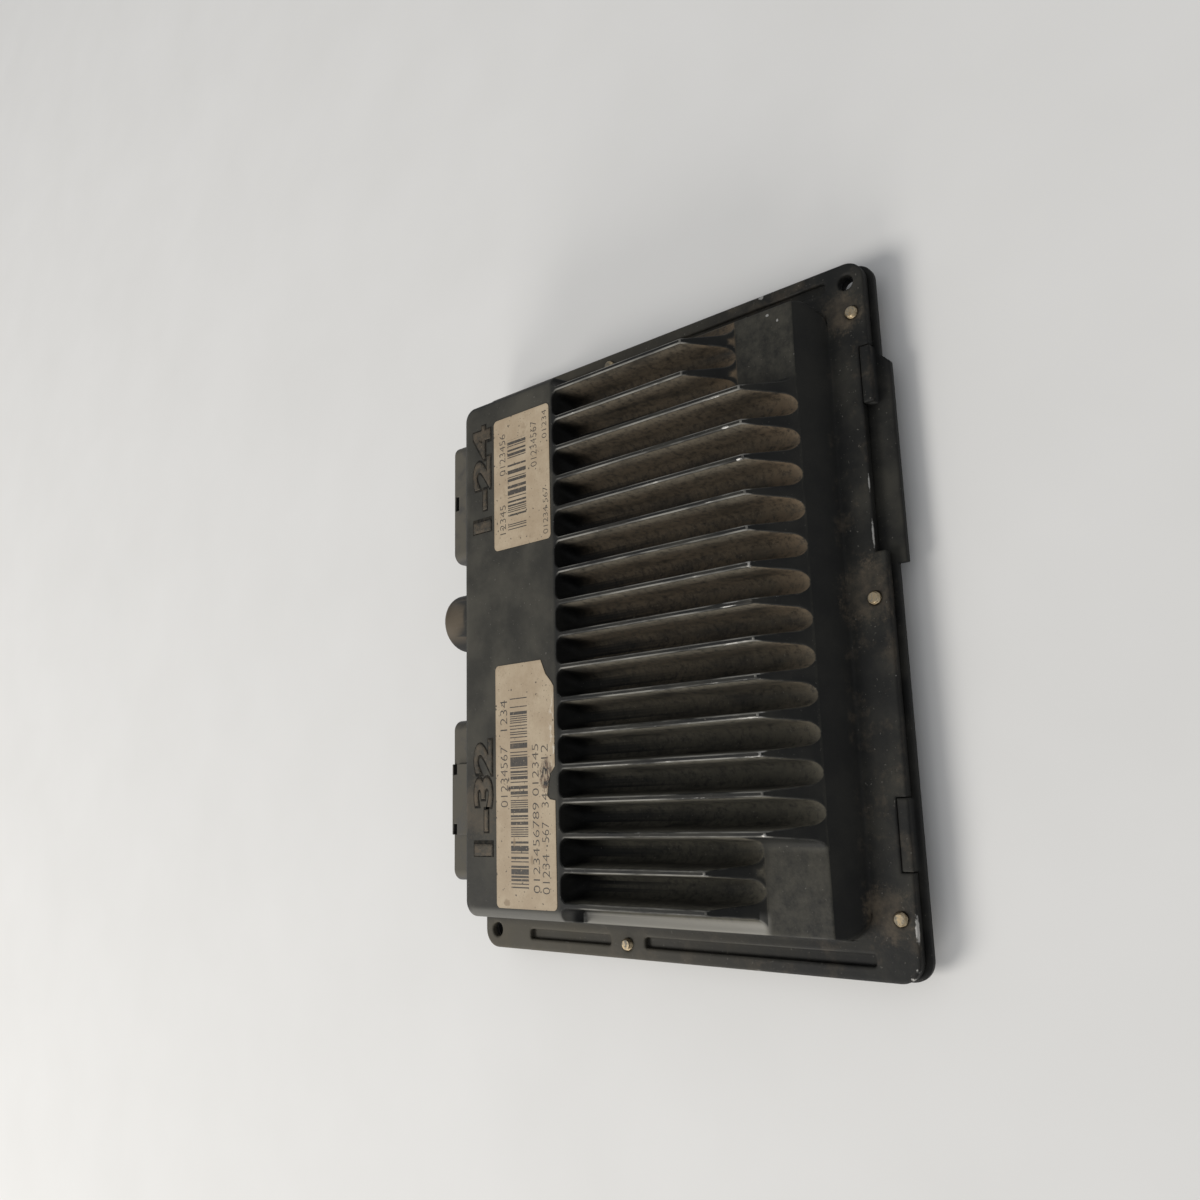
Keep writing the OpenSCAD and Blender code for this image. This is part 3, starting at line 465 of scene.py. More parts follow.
# %% Rubbed edges and bare metal
def rubbed_edges(tree, place, look):
    """Edges rubbed grey, most of all along the crests."""
    x, y, z = split(tree, place)
    rubbed = noise(tree, stretched(tree, place, (1.0, 0.15, 1.0)), 3.0, 4.0, 0.6)
    on_crest = mixed_value(tree, fade(tree, z, CREST_Z - 2.0, CREST_Z - 0.6), 0.1, 0.7)
    off_shoulder = fade(tree, y, LONG_TIP_Y + 1.0, LONG_TIP_Y + 3.0)
    at_mouth = span(tree, y, GROOVE_MOUTH_Y - 1.5, GROOVE_MOUTH_Y + 1.0, 1.2)
    off_mouth = calc(tree, "SUBTRACT", 1.0, at_mouth)
    share = product(tree, fade(tree, rubbed, 0.35, 0.65), on_crest, off_shoulder, off_mouth)
    return mixed(tree, share, look, RUBBED_PAINT_AND_HIGHLIGHT)


def bare_metal(tree, place, edges):
    """Share of bare metal: single marks everywhere, and rubbed lines along the edges."""
    x, y, z = split(tree, place)
    bare = 0.0
    for middle, sizes in RUBBED_MARKS:
        bare = calc(tree, "MAXIMUM", bare, near(tree, place, middle, sizes))
    if not edges:
        return bare
    rubbing = noise(tree, stretched(tree, place, (1.0, 0.22, 1.0)), 2.4, 4.0, 0.65)
    crest = fade(tree, z, CREST_Z - 2.0, CREST_Z - 0.4)
    rear = fade(tree, y, -20.0, LONG_TIP_Y + 12)
    helped = calc(tree, "ADD", rubbing, product(tree, crest, 0.05))
    helped = calc(tree, "ADD", helped, product(tree, rear, crest, 0.08))
    return calc(tree, "MAXIMUM", bare, fade(tree, helped, 0.66, 0.8))


print("wear ready")

# %% [markdown]
# ## The whole coat
# The layers are put over each other in one function, which makes the plain paint and the rubbed paint
# for edges. A thick coat also flows round corners. A Bevel node shades it so, as if all edges were
# round. The fins keep their own crisp shading, because their crests are thinner than the coat's
# rounding.


# %% The whole coat
def thick_coat(tree, place):
    """Surface direction of a coat that flows round edges, except on the fins."""
    x, y, z = split(tree, place)
    soft = add_node(tree, "Bevel", {"Radius": COAT_RADIUS * MM}, samples=4).outputs[0]
    crisp = add_node(tree, "NewGeometry").outputs["Normal"]
    behind_block = fade(tree, y, GROOVE_MOUTH_Y + 0.7, GROOVE_MOUTH_Y - 0.3)
    on_fins = product(tree, fade(tree, z, CREST_Z - 6, CREST_Z - 3), behind_block)
    return mixed_vector(tree, on_fins, soft, crisp)


def worn_paint(name, edges, extra_dust=0.0):
    """Satin black paint. With edges set, it is rubbed. Extra dust is a share of tan dust all over."""
    material, tree, shader, place = new_finish(name)
    blotch = noise(tree, place, 14.0, 4.0)
    patch = noise(tree, place, 9.0, 5.0, 0.7)
    level = fade(tree, facing(tree)[2], 0.5, 1.0)
    along, upper_wall_dust_and_light, at_tip = groove_dust(tree, place)
    look = mixed(tree, fade(tree, blotch, 0.3, 0.75), PAINT, PAINT_GREY)
    if edges:
        look = rubbed_edges(tree, place, look)
    look = dusty_levels(tree, place, look, blotch, level)
    look = dusty_grooves(tree, place, look, along, upper_wall_dust_and_light, at_tip)
    look = dusty_flange(tree, place, look, patch)
    look = painted_highlight_side(tree, place, look, level)
    look = dusty_spots(tree, place, look, patch, level)
    if extra_dust:
        crust = fade(tree, noise(tree, place, 1.8, 4.0, 0.65), 0.3, 0.65)
        look = laid(tree, look, crust, extra_dust, TAN_DUST)
    bare = bare_metal(tree, place, edges)
    fill(tree, shader.inputs["Base Color"], mixed(tree, bare, look, BARE_METAL))
    fill(tree, shader.inputs["Metallic"], bare)
    fill(tree, shader.inputs["Specular IOR Level"], PAINT_SHINE)
    matt = mixed_value(tree, fade(tree, blotch, 0.3, 0.8), 0.52, 0.66)
    matt = mixed_value(tree, calc(tree, "MAXIMUM", along, at_tip), matt, 0.9)
    fill(tree, shader.inputs["Roughness"], mixed_value(tree, bare, matt, 0.5))
    skin = bump(tree, noise(tree, place, 2.2, 3.0), 0.05, thick_coat(tree, place))
    fill(tree, shader.inputs["Normal"], bump(tree, noise(tree, place, 0.45, 2.0), 0.03, skin))
    return material


painted = worn_paint("worn_black_paint", False)
painted_edges = worn_paint("rubbed_paint_edges", True)
for finish in (painted, painted_edges):
    print(finish.name, "has", len(finish.node_tree.nodes), "nodes")

# %% [markdown]
# ## Soft cast edges
# A die casting has no knife edges, and the rounded edges are where paint rubs off. Rounding could be
# faked in the shader, but then the outline stays sharp. Here a copy of the solid gets its loose
# triangles merged and its flat faces joined. Its outward corners get a weight, and a Bevel modifier
# rounds just those. Inward corners are left alone, because paint does not rub off there, and rounding an
# inward corner that runs on into an outward one throws spikes. Sliding along other edges is off, so the
# rounding keeps one width and no corner folds over. The modifier gives the new faces the second
# material, so the wear lies on the edges. A Weighted Normal modifier then lets the large faces decide
# the shading, so that flat faces look flat.

# %% Merged copies of the solids
SAME_CORNER = 0.002 * MM
SAME_PLANE = math.radians(0.8)


def join_flat(shape):
    """Join neighbouring faces that lie in one plane."""
    everything = {"verts": shape.verts, "edges": shape.edges}
    bmesh.ops.dissolve_limit(shape, angle_limit=SAME_PLANE, delimit=set(), **everything)


def shared_corners(node_name):
    """The solid's shape with corners that its faces share."""
    shape = bmesh.new()
    shape.from_mesh(nodes[node_name].data)
    bmesh.ops.remove_doubles(shape, verts=shape.verts, dist=SAME_CORNER)
    return shape


def merged_copy(node_name):
    """The solid's shape with shared corners and joined flat faces."""
    shape = shared_corners(node_name)
    join_flat(shape)
    return shape


def plain_mesh(holder):
    """Turn an object's evaluated result into its own plain mesh, and drop its modifiers."""
    graph = bpy.context.evaluated_depsgraph_get()
    result = bpy.data.meshes.new_from_object(holder.evaluated_get(graph))
    holder.modifiers.clear()
    holder.data = result
    return result


print("corners closer than", SAME_CORNER / MM, "mm are merged")

# %% Rounded copies of the solids
ROUNDED_FROM = 28
SHARP_SHADING = math.radians(38)


def inside(point, region):
    """Whether a point in millimetres lies in a box of three (low, high) pairs."""
    return all(low < value < high for value, (low, high) in zip(point, region))


def rounded(name, shape, radius, finishes, unseen=None):
    """An object whose sharp corners are rounded, except those in the unseen box."""
    shape.normal_update()
    weight = shape.edges.layers.float.new("bevel_weight_edge")
    for edge in shape.edges:
        angle = math.degrees(edge.calc_face_angle_signed(0.0))
        middle = (edge.verts[0].co + edge.verts[1].co) / (2 * MM)
        if angle > ROUNDED_FROM and not (unseen and inside(middle, unseen)):
            edge[weight] = 1.0
    mesh = bpy.data.meshes.new(name)
    shape.to_mesh(mesh)
    shape.free()
    mesh.shade_smooth()
    mesh.set_sharp_from_angle(angle=SHARP_SHADING)
    mesh.materials.clear()
    for finish in finishes:
        mesh.materials.append(finish)
    piece = bpy.data.objects.new(name, mesh)
    bpy.context.scene.collection.objects.link(piece)
    rounding = piece.modifiers.new("round_edges", "BEVEL")
    rounding.width = radius * MM
    rounding.segments = 2
    rounding.limit_method = "WEIGHT"
    rounding.use_clamp_overlap = False
    rounding.loop_slide = False
    rounding.miter_outer = "MITER_ARC"
    rounding.material = 1
    flat = piece.modifiers.new("keep_faces_flat", "WEIGHTED_NORMAL")
    flat.keep_sharp = True
    mesh = plain_mesh(piece)
    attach(piece, "root")
    print(name, "has", len(mesh.polygons), "faces")
    return piece


print("edges sharper than", ROUNDED_FROM, "degrees will be rounded")

# %% [markdown]
# ## Rounder corners on the connector block
# The casting's two front corners are round all the way up, as a mould needs them to be. The solid has
# them round at the foot only, because its walls lean inwards away from an upright rounding. A wide Bevel
# would have to cross many small faces there. So a cutter is built for each corner, level by level: each
# level is the corner's square less a quarter circle that touches both leaning walls. A Boolean modifier
# takes the cutters away. It works in millimetres, because its tolerance is too coarse for sizes in
# metres.

# %% Cutters for the two corners
BLOCK_HALF = 85.75
SIDE_DRAFT = math.radians(8)
END_DRAFT = math.radians(2)
EDGE_RADIUS = 3.0
CORNER_RADIUS = 4.0
CUTTER_GAP = 0.02
CUTTER_MARGIN = 2.0
CUTTER_FOOT = 0.05
EDGE_ANGLES = (2, 8, 20, 30, 40, 50, 60, 70, 80, 90)
CORNER_STEPS = 10


def wall_place(z, foot, draft):
    """How far out a leaning wall with a rounded upper edge reaches at a height."""
    radius = EDGE_RADIUS + CUTTER_GAP
    turn_z = CREST_Z - EDGE_RADIUS
    middle = foot - (turn_z - FLANGE_Z) * math.tan(draft) - EDGE_RADIUS / math.cos(draft)
    if z < turn_z + radius * math.sin(draft):
        return foot - (z - FLANGE_Z) * math.tan(draft) + CUTTER_GAP / math.cos(draft)
    return middle + math.sqrt(max(radius ** 2 - (z - turn_z) ** 2, 0.0))


def corner_cutter(side):
    """A closed shape around one front corner, whose inner face is the round corner."""
    turn_z = CREST_Z - EDGE_RADIUS
    levels = [FLANGE_Z + CUTTER_FOOT]
    for angle in EDGE_ANGLES:
        levels.append(turn_z + (EDGE_RADIUS + CUTTER_GAP) * math.sin(math.radians(angle)))
    shape = bmesh.new()
    rings = []
    for z in levels + [CREST_Z + CUTTER_MARGIN]:
        x_mid = wall_place(min(z, levels[-1]), BLOCK_HALF, SIDE_DRAFT) - CORNER_RADIUS
        y_mid = wall_place(min(z, levels[-1]), END_WALL_Y, END_DRAFT) - CORNER_RADIUS
        outline = []
        for step in range(CORNER_STEPS + 1):
            angle = math.radians(90 / CORNER_STEPS * step)
            x_round = x_mid + CORNER_RADIUS * math.cos(angle)
            y_round = y_mid + CORNER_RADIUS * math.sin(angle)
            outline.append((x_round, y_round))
        outline.append((x_mid, END_WALL_Y + CUTTER_MARGIN))
        outline.append((BLOCK_HALF + CUTTER_MARGIN, END_WALL_Y + CUTTER_MARGIN))
        outline.append((BLOCK_HALF + CUTTER_MARGIN, y_mid))
        rings.append([shape.verts.new((side * x * MM, y * MM, z * MM)) for x, y in outline])
    for lower, upper in zip(rings, rings[1:]):
        for k in range(len(lower)):
            after = (k + 1) % len(lower)
            shape.faces.new((lower[k], lower[after], upper[after], upper[k]))
    shape.faces.new(rings[0])
    shape.faces.new(rings[-1])
    shape.normal_update()
    bmesh.ops.recalc_face_normals(shape, faces=shape.faces)
    return shape


print("corners of", CORNER_RADIUS, "mm from", FLANGE_Z, "to", round(CREST_Z, 2), "mm")


# %% Cut the corners
def cut_away(shape, cutters):
    """A shape less some cutters, cut in millimetres and brought back to metres."""
    holders = []
    for part in [shape] + cutters:
        bmesh.ops.scale(part, vec=(1 / MM, 1 / MM, 1 / MM), verts=part.verts)
        mesh = bpy.data.meshes.new("cut_part")
        part.to_mesh(mesh)
        part.free()
        holder = bpy.data.objects.new("cut_part", mesh)
        bpy.context.scene.collection.objects.link(holder)
        holders.append(holder)
    for cutter in holders[1:]:
        cutting = holders[0].modifiers.new("cut", "BOOLEAN")
        cutting.operation = "DIFFERENCE"
        cutting.solver = "MANIFOLD"
        cutting.object = cutter
    result = bmesh.new()
    result.from_mesh(plain_mesh(holders[0]))
    for holder in holders:
        bpy.data.objects.remove(holder)
    bmesh.ops.scale(result, vec=(MM, MM, MM), verts=result.verts)
    bmesh.ops.remove_doubles(result, verts=result.verts, dist=SAME_CORNER)
    join_flat(result)
    return result


housing_shape = cut_away(shared_corners("housing"), [corner_cutter(side) for side in (-1, 1)])
print("cut housing has", len(housing_shape.faces), "faces")

# %% [markdown]
# ## Housing and cover
# The casting's inside is closed in, so the edges in its cavity stay sharp, which saves faces. The cover
# is sheet metal, and its edges are rounded a little less.

# %% Soft housing and cover
CAVITY = ((-84, 84), (-58, 60.5), (0, 18.5))
CAST_ROUNDING = 0.35
SHEET_ROUNDING = 0.3
housing = rounded("housing_soft", housing_shape, CAST_ROUNDING, (painted, painted_edges), CAVITY)
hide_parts("housing")
cover = rounded("base_cover_soft", merged_copy("base_cover"), SHEET_ROUNDING, (painted, painted_edges))
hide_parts("base_cover")

# %% [markdown]
# ## Plug headers in dusty plastic
# The two headers are moulded from a glass-filled plastic that has gone grey with dust on top. The dust
# lies on whatever faces up, in a cloudy layer, and the walls below stay dark. The rounded rims of the
# moulding get a paler copy of the plastic, a painted highlight where light catches them.

# %% Header plastic
HEADER_DUST = (0.10, 0.09, 0.069, 1)
PLASTIC_TONES = ((0.022, 0.021, 0.020, 1), (0.034, 0.032, 0.029, 1))
RIM_HIGHLIGHT_TONES = ((0.040, 0.038, 0.034, 1), (0.060, 0.056, 0.049, 1))
SOCKET_DEPTH = ((-90, 90), (0, 60), (0, 31))
MOULDED_ROUNDING = 0.25


def dusty_plastic(name, dark, light):
    """Dark plastic with a cloudy layer of dust on top."""
    material, tree, shader, place = new_finish(name)
    cloud = noise(tree, place, 6.0, 5.0, 0.65)
    fibre = noise(tree, stretched(tree, place, (0.4, 2.0, 2.0)), 0.6, 2.0)
    plastic = mixed(tree, fade(tree, fibre, 0.3, 0.7), dark, light)
    settled = product(tree, fade(tree, facing(tree)[2], 0.4, 1.0), fade(tree, cloud, 0.2, 0.55))
    fill(tree, shader.inputs["Base Color"], laid(tree, plastic, settled, 0.8, HEADER_DUST))
    fill(tree, shader.inputs["Roughness"], mixed_value(tree, settled, 0.48, 0.85))
    fill(tree, shader.inputs["Normal"], bump(tree, fibre, 0.02))
    return material


plastic = dusty_plastic("header_plastic", *PLASTIC_TONES)
# The rims get a paler copy of the plastic, a painted highlight
plastic_rim_highlight = dusty_plastic("header_rim_highlight", *RIM_HIGHLIGHT_TONES)
header_finishes = (plastic, plastic_rim_highlight)
for header_name in ("header_24_shell", "header_32_shell"):
    header_shape = merged_copy(header_name)
    header = rounded(header_name + "_soft", header_shape, MOULDED_ROUNDING, header_finishes, SOCKET_DEPTH)
    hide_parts(header_name)

# %% [markdown]
# ## Numerals cast into the connector block
# Raised characters on the casting mark which header is which. Plain terminal counts stand there, one to
# twenty-four and one to thirty-two. Blender's own font gives their outlines, which are thickened,
# filled, raised by a fifth of a millimetre above the block and rounded like the rest of the casting.
# Dust lies on them. Around their feet a thin dark skirt with a bolder outline is a painted shadow, as the
# characters stand too low to cast one of their own.


# %% Characters as shapes
def written(words, left, right, low, high, bottom, top, bold=0.0):
    """A shape of raised characters that fills the given box in millimetres."""
    curve = bpy.data.curves.new("written", "FONT")
    curve.body = words
    curve.resolution_u = 4
    curve.extrude = 0.5
    curve.offset = bold
    holder = bpy.data.objects.new("written", curve)
    bpy.context.scene.collection.objects.link(holder)
    graph = bpy.context.evaluated_depsgraph_get()
    outline = bpy.data.meshes.new_from_object(holder.evaluated_get(graph))
    shape = bmesh.new()
    shape.from_mesh(outline)
    bpy.data.objects.remove(holder)
    bpy.data.meshes.remove(outline)
    lowest = [min(v.co[axis] for v in shape.verts) for axis in range(3)]
    highest = [max(v.co[axis] for v in shape.verts) for axis in range(3)]
    box = ((left, right), (low, high), (bottom, top))
    for v in shape.verts:
        for axis in range(3):
            share = (v.co[axis] - lowest[axis]) / (highest[axis] - lowest[axis])
            v.co[axis] = (box[axis][0] + share * (box[axis][1] - box[axis][0])) * MM
    bmesh.ops.remove_doubles(shape, verts=shape.verts, dist=0.001 * MM)
    bmesh.ops.recalc_face_normals(shape, faces=shape.faces)
    return shape


print("characters can be written")

# %% Cast numerals
NUMERALS = (("numerals_24", "1-24", 38.0, 74.6), ("numerals_32", "1-32", -64.7, -29.5))
NUMERAL_LOW = 49.4
NUMERAL_HIGH = 57.6
NUMERAL_FOOT = CREST_Z - 0.1
NUMERAL_TOP = cad_high.z / MM
NUMERAL_BOLDNESS = 0.03
NUMERAL_ROUNDING = 0.08
SKIRT = 0.45
SKIRT_TOP = CREST_Z + 0.05
SKIRT_BOLDNESS = 0.07
SKIRT_ROUNDING = 0.03
# Tones of the painted shadow round the numerals' feet
PAINTED_SHADOW_DARK = (0.006, 0.006, 0.005, 1)
PAINTED_SHADOW_LIGHT = (0.035, 0.03, 0.022, 1)

caked = (worn_paint("caked_paint", False, 0.3), worn_paint("caked_paint_edges", True, 0.5))
grime, tree, shader, place = new_finish("grime")
cloud = noise(tree, place, 1.5, 4.0, 0.65)
painted_shadow_tone = mixed(tree, fade(tree, cloud, 0.35, 0.7), PAINTED_SHADOW_DARK, PAINTED_SHADOW_LIGHT)
fill(tree, shader.inputs["Base Color"], painted_shadow_tone)
fill(tree, shader.inputs["Roughness"], mixed_value(tree, cloud, 0.8, 0.95))
fill(tree, shader.inputs["Specular IOR Level"], PAINT_SHINE)
for piece_name, words, left, right in NUMERALS:
    place_of_words = (left, right, NUMERAL_LOW, NUMERAL_HIGH)
    raised = written(words, *place_of_words, NUMERAL_FOOT, NUMERAL_TOP, NUMERAL_BOLDNESS)
    join_flat(raised)
    numerals = rounded(piece_name, raised, NUMERAL_ROUNDING, caked)
    # Each set of characters sits on a thin dark skirt, a painted shadow
    place_of_skirt = (left - SKIRT, right + SKIRT, NUMERAL_LOW - SKIRT, NUMERAL_HIGH + SKIRT)
    spread = written(words, *place_of_skirt, NUMERAL_FOOT, SKIRT_TOP, SKIRT_BOLDNESS)
    skirt = rounded(piece_name + "_grime", spread, SKIRT_ROUNDING, (grime, grime))

# %% [markdown]
# ## Aged stickers
# Two paper-like stickers lie on the connector block. They have yellowed, and they are scuffed, spotted
# and torn. The bars could be drawn in an image, but a pattern of random stripes needs none: the place
# along the sticker is cut into narrow steps, each step gets a random number, and the high ones are
# inked. Stains, spots and torn places are laid over film and ink alike.

# %% Sticker film and ink
FILM = (0.37, 0.285, 0.19, 1)
FILM_PALE = (0.45, 0.365, 0.255, 1)
STAIN = (0.23, 0.165, 0.10, 1)
TORN_PAPER = (0.13, 0.085, 0.055, 1)
CREASE_HIGHLIGHT = (0.62, 0.57, 0.48, 1)
INK = (0.048, 0.042, 0.035, 1)
BAR_STEP = 0.32
FILM_Z = 31.4

# Middles and half sizes of damaged places, in millimetres
TORN = [((-41.3, 26.6, FILM_Z), (6.2, 3.2, 2.0)), ((-44.9, 41.9, FILM_Z), (1.1, 0.8, 2.0))]
CRUMPLED_EDGE = ((-32.0, 23.0, FILM_Z), (22.0, 2.6, 2.0))
SCUFFS = [
    ((-60.6, 40.0, FILM_Z), (2.2, 0.7, 2.0)),
    ((-65.9, 32.8, FILM_Z), (1.6, 0.8, 2.0)),
    ((-78.3, 43.4, FILM_Z), (1.4, 1.8, 2.0)),
]


def stripes(tree, place, left, right, low, high):
    """Random stripes across a rectangle."""
    x, y, z = split(tree, place)
    step = calc(tree, "FLOOR", calc(tree, "DIVIDE", x, BAR_STEP))
    chance = add_node(tree, "TexWhiteNoise", {"W": step}, noise_dimensions="1D").outputs["Value"]
    inked = calc(tree, "GREATER_THAN", chance, 0.5)
    area = calc(tree, "MULTIPLY", span(tree, x, left, right, 0.05), span(tree, y, low, high, 0.08))
    return calc(tree, "MULTIPLY", inked, area)


def aged(tree, place, look, edge_box):
    """Stains, a darker rim, paper fibres and dark dots over a look."""
    x, y, z = split(tree, place)
    stain = fade(tree, noise(tree, place, 5.0, 6.0, 0.7), 0.58, 0.72)
    look = laid(tree, look, stain, 0.5, STAIN)
    (left, right), (low, high) = edge_box
    middle = product(tree, span(tree, x, left, right, 1.2), span(tree, y, low, high, 1.2))
    look = laid(tree, look, calc(tree, "SUBTRACT", 1.0, middle), 0.45, STAIN)
    fibres = fade(tree, noise(tree, place, 0.6, 3.0, 0.7), 0.45, 0.75)
    look = laid(tree, look, fibres, 0.22, STAIN)
    for grain, least in ((1.3, 0.71), (0.8, 0.73)):
        dots = fade(tree, noise(tree, place, grain, 1.0), least, least + 0.04)
        look = laid(tree, look, dots, 0.8, PAINT_GREY)
    return look


def damaged(tree, place, look):
    """A crumpled edge with pale crinkles, painted highlights on the creases, then scuffs and torn places
    over a look.
    """
    crease = noise(tree, stretched(tree, place, (0.5, 1.4, 1.0)), 1.2, 3.0, 0.6)
    crease = fade(tree, crease, 0.5, 0.62)
    # Pale crinkles along the ragged edge are painted highlights on the creases
    crumpled_highlights = product(tree, near(tree, place, *CRUMPLED_EDGE), crease)
    look = laid(tree, look, crumpled_highlights, 0.7, CREASE_HIGHLIGHT)
    for middle, sizes in SCUFFS:
        look = laid(tree, look, near(tree, place, middle, sizes), 0.7, STAIN)
    for middle, sizes in TORN:
        torn = near(tree, place, middle, sizes)
        look = mixed(tree, torn, look, TORN_PAPER)
        frayed = fade(tree, noise(tree, place, 1.1, 3.0), 0.46, 0.54)
        look = mixed(tree, product(tree, torn, frayed), look, PAINT)
        look = laid(tree, look, product(tree, torn, crease), 0.6, FILM_PALE)
    return look


def sticker(name, edge_box, bars, printed):
    """Yellowed film with stains and torn places. With printed set, it is inked all over."""
    material, tree, shader, place = new_finish(name)
    cloud = noise(tree, place, 9.0, 4.0, 0.6)
    film = mixed(tree, fade(tree, cloud, 0.3, 0.7), FILM, FILM_PALE)
    worn = fade(tree, noise(tree, place, 0.9, 3.0, 0.6), 0.6, 0.68)
    ink = calc(tree, "SUBTRACT", 1.0, product(tree, worn, 0.6))
    if not printed:
        ink = product(tree, stripes(tree, place, *bars), ink)
    look = aged(tree, place, mixed(tree, ink, film, INK), edge_box)
    fill(tree, shader.inputs["Base Color"], damaged(tree, place, look))
    fill(tree, shader.inputs["Roughness"], mixed_value(tree, cloud, 0.55, 0.75))
    fill(tree, shader.inputs["Normal"], bump(tree, noise(tree, place, 3.0, 4.0), 0.06))
    return material


print("sticker finishes ready")

# %% [markdown]
# ## Printing the stickers
# Rows of digits stand above and below the bars. They are flat characters a hundredth of a millimetre
# above the film, with an ink finish that wears like the film's. The film itself is the solid's shape,
# set down by a hair so that the print fits under the unit's full height.

# %% Films and rows of digits
# Rows of plain digits: characters, left, right, low and high edge in millimetres
STICKERS = {
    "label_upper": {
        "bars": (35.6, 66.3, 33.2, 41.4),
        "rows": [
            ("12345", 35.3, 44.9, 42.4, 45.0),
            ("0123456", 55.0, 69.0, 42.4, 45.0),
            ("01234567", 54.8, 69.9, 28.4, 31.0),
            ("01234", 63.1, 72.4, 24.0, 26.0),
            ("01234 567", 32.0, 47.0, 24.0, 26.0),
        ],
    },
    "label_lower": {
        "bars": (-74.0, -17.1, 34.1, 41.4),
        "rows": [
            ("1234", -27.3, -17.9, 42.6, 45.6),
            ("01234567", -50.4, -32.2, 42.6, 45.6),
            ("0123456789 012345", -75.2, -32.1, 29.6, 32.2),
            ("12", -36.6, -32.4, 25.7, 28.5),
            ("34", -50.8, -46.7, 25.7, 28.5),
            ("567", -60.8, -55.0, 25.7, 28.5),
            ("01234", -75.4, -64.2, 25.7, 28.5),
        ],
    },
}
FILM_TOP = NUMERAL_TOP - 0.02
FILM_ROUNDING = 0.05
PRINT_HALF = 0.01
PRINT_BOLDNESS = -0.012


def printed_rows(name, rows):
    """One mesh with all rows of digits on a sticker."""
    whole = bmesh.new()
    for words, left, right, low, high in rows:
        row_place = (left, right, low, high, FILM_TOP - PRINT_HALF, FILM_TOP + PRINT_HALF)
        row = written(words, *row_place, PRINT_BOLDNESS)
        row_mesh = bpy.data.meshes.new("row")
        row.to_mesh(row_mesh)
        row.free()
        whole.from_mesh(row_mesh)
        bpy.data.meshes.remove(row_mesh)
    mesh = bpy.data.meshes.new(name)
    whole.to_mesh(mesh)
    whole.free()
    return mesh


for label_name, layout in STICKERS.items():
    low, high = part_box(label_name)
    edge_box = ((low.x / MM, high.x / MM), (low.y / MM, high.y / MM))
    film_finish = sticker(label_name + "_film", edge_box, layout["bars"], False)
    ink_finish = sticker(label_name + "_ink", edge_box, layout["bars"], True)
    film_shape = merged_copy(label_name)
    for v in film_shape.verts:
        v.co.z = min(v.co.z, FILM_TOP * MM)
    film = rounded(label_name + "_film", film_shape, FILM_ROUNDING, (film_finish, film_finish))
    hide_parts(label_name)
    print_mesh = printed_rows(label_name + "_print", layout["rows"])
    print_mesh.materials.append(ink_finish)
    print_piece = bpy.data.objects.new(label_name + "_print", print_mesh)
    bpy.context.scene.collection.objects.link(print_piece)
    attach(print_piece, "root")
    print(label_name, "has", len(layout["rows"]), "rows of digits")

# %% [markdown]
# ## Cover screws with real threads
# Eight screws hold the base cover, and their ends stand a millimetre out of the flange. A thread is a
# ridge that climbs by one pitch for each turn, so the radius of a column of rings is varied with height
# and angle. The head is domed, with a cross recess. One screw is made, and a Geometry Nodes tree sets it
# on every place, each turned by a random angle, as no two screws stop alike.

# %% Screw head
RING = [math.tau * k / 64 for k in range(64)]
HEAD_SHARES = (0.05, 0.12, 0.18, 0.24, 0.3, 0.36, 0.42, 0.48, 0.54, 0.58, 0.62, 0.7, 0.8, 0.9, 0.97, 1.0)
DOME_SHARE = 0.45
ARM_HALF = 0.42
ARM_SHARE = 0.56
RECESS = 1.1


def level_ring(radii, height):
    """A ring of points at one height."""
    return [(r * math.cos(angle), r * math.sin(angle), height) for r, angle in zip(radii, RING)]


def head_rings(head, head_low, head_high):
    """Rings of a domed head with a cross recess, from its middle outwards."""
    rings = []
    for share in HEAD_SHARES:
        dome = head_low + (head_high - head_low) * DOME_SHARE * share ** 4
        ring = []
        for x, y, z in level_ring([share * head] * len(RING), dome):
            in_arm = min(abs(x), abs(y)) < ARM_HALF and share < ARM_SHARE
            ring.append((x, y, z + RECESS if in_arm else z))
        rings.append(ring)
    return rings


print("a head has", len(HEAD_SHARES), "rings of", len(RING), "points")

# %% Threaded shank
THREAD_DEPTH = 0.35
RINGS_PER_TURN = 6
TIP_INSET = 0.45
TIP_SLOPE = 0.9


def thread_radius(outer, pitch, height, angle):
    """Radius of a threaded shank at a height and an angle."""
    turn_share = (height / pitch - angle / math.tau) % 1.0
    return outer - THREAD_DEPTH * (1 - abs(2 * turn_share - 1))


def shank_rings(shank, low, high, pitch):
    """Rings of a threaded shank that narrows at its end."""
    steps = int((high - low) / (pitch / RINGS_PER_TURN))
    rings = []
    for step in range(1, steps + 1):
        height = low + (high - low) * step / steps
        widest = shank - TIP_INSET + (high - height) * TIP_SLOPE
        radii = [min(thread_radius(shank, pitch, height, angle), widest) for angle in RING]
        rings.append(level_ring(radii, height))
    return rings


print("a thread is", THREAD_DEPTH, "mm deep")

# %% Whole screw and its places
# Radii, heights and pitch in millimetres
SCREW_SIZES = {
    "shank": 1.75,
    "head": 3.3,
    "head_low": 2.3,
    "head_high": 4.5,
    "shank_high": 11.1,
    "pitch": 0.8,
}


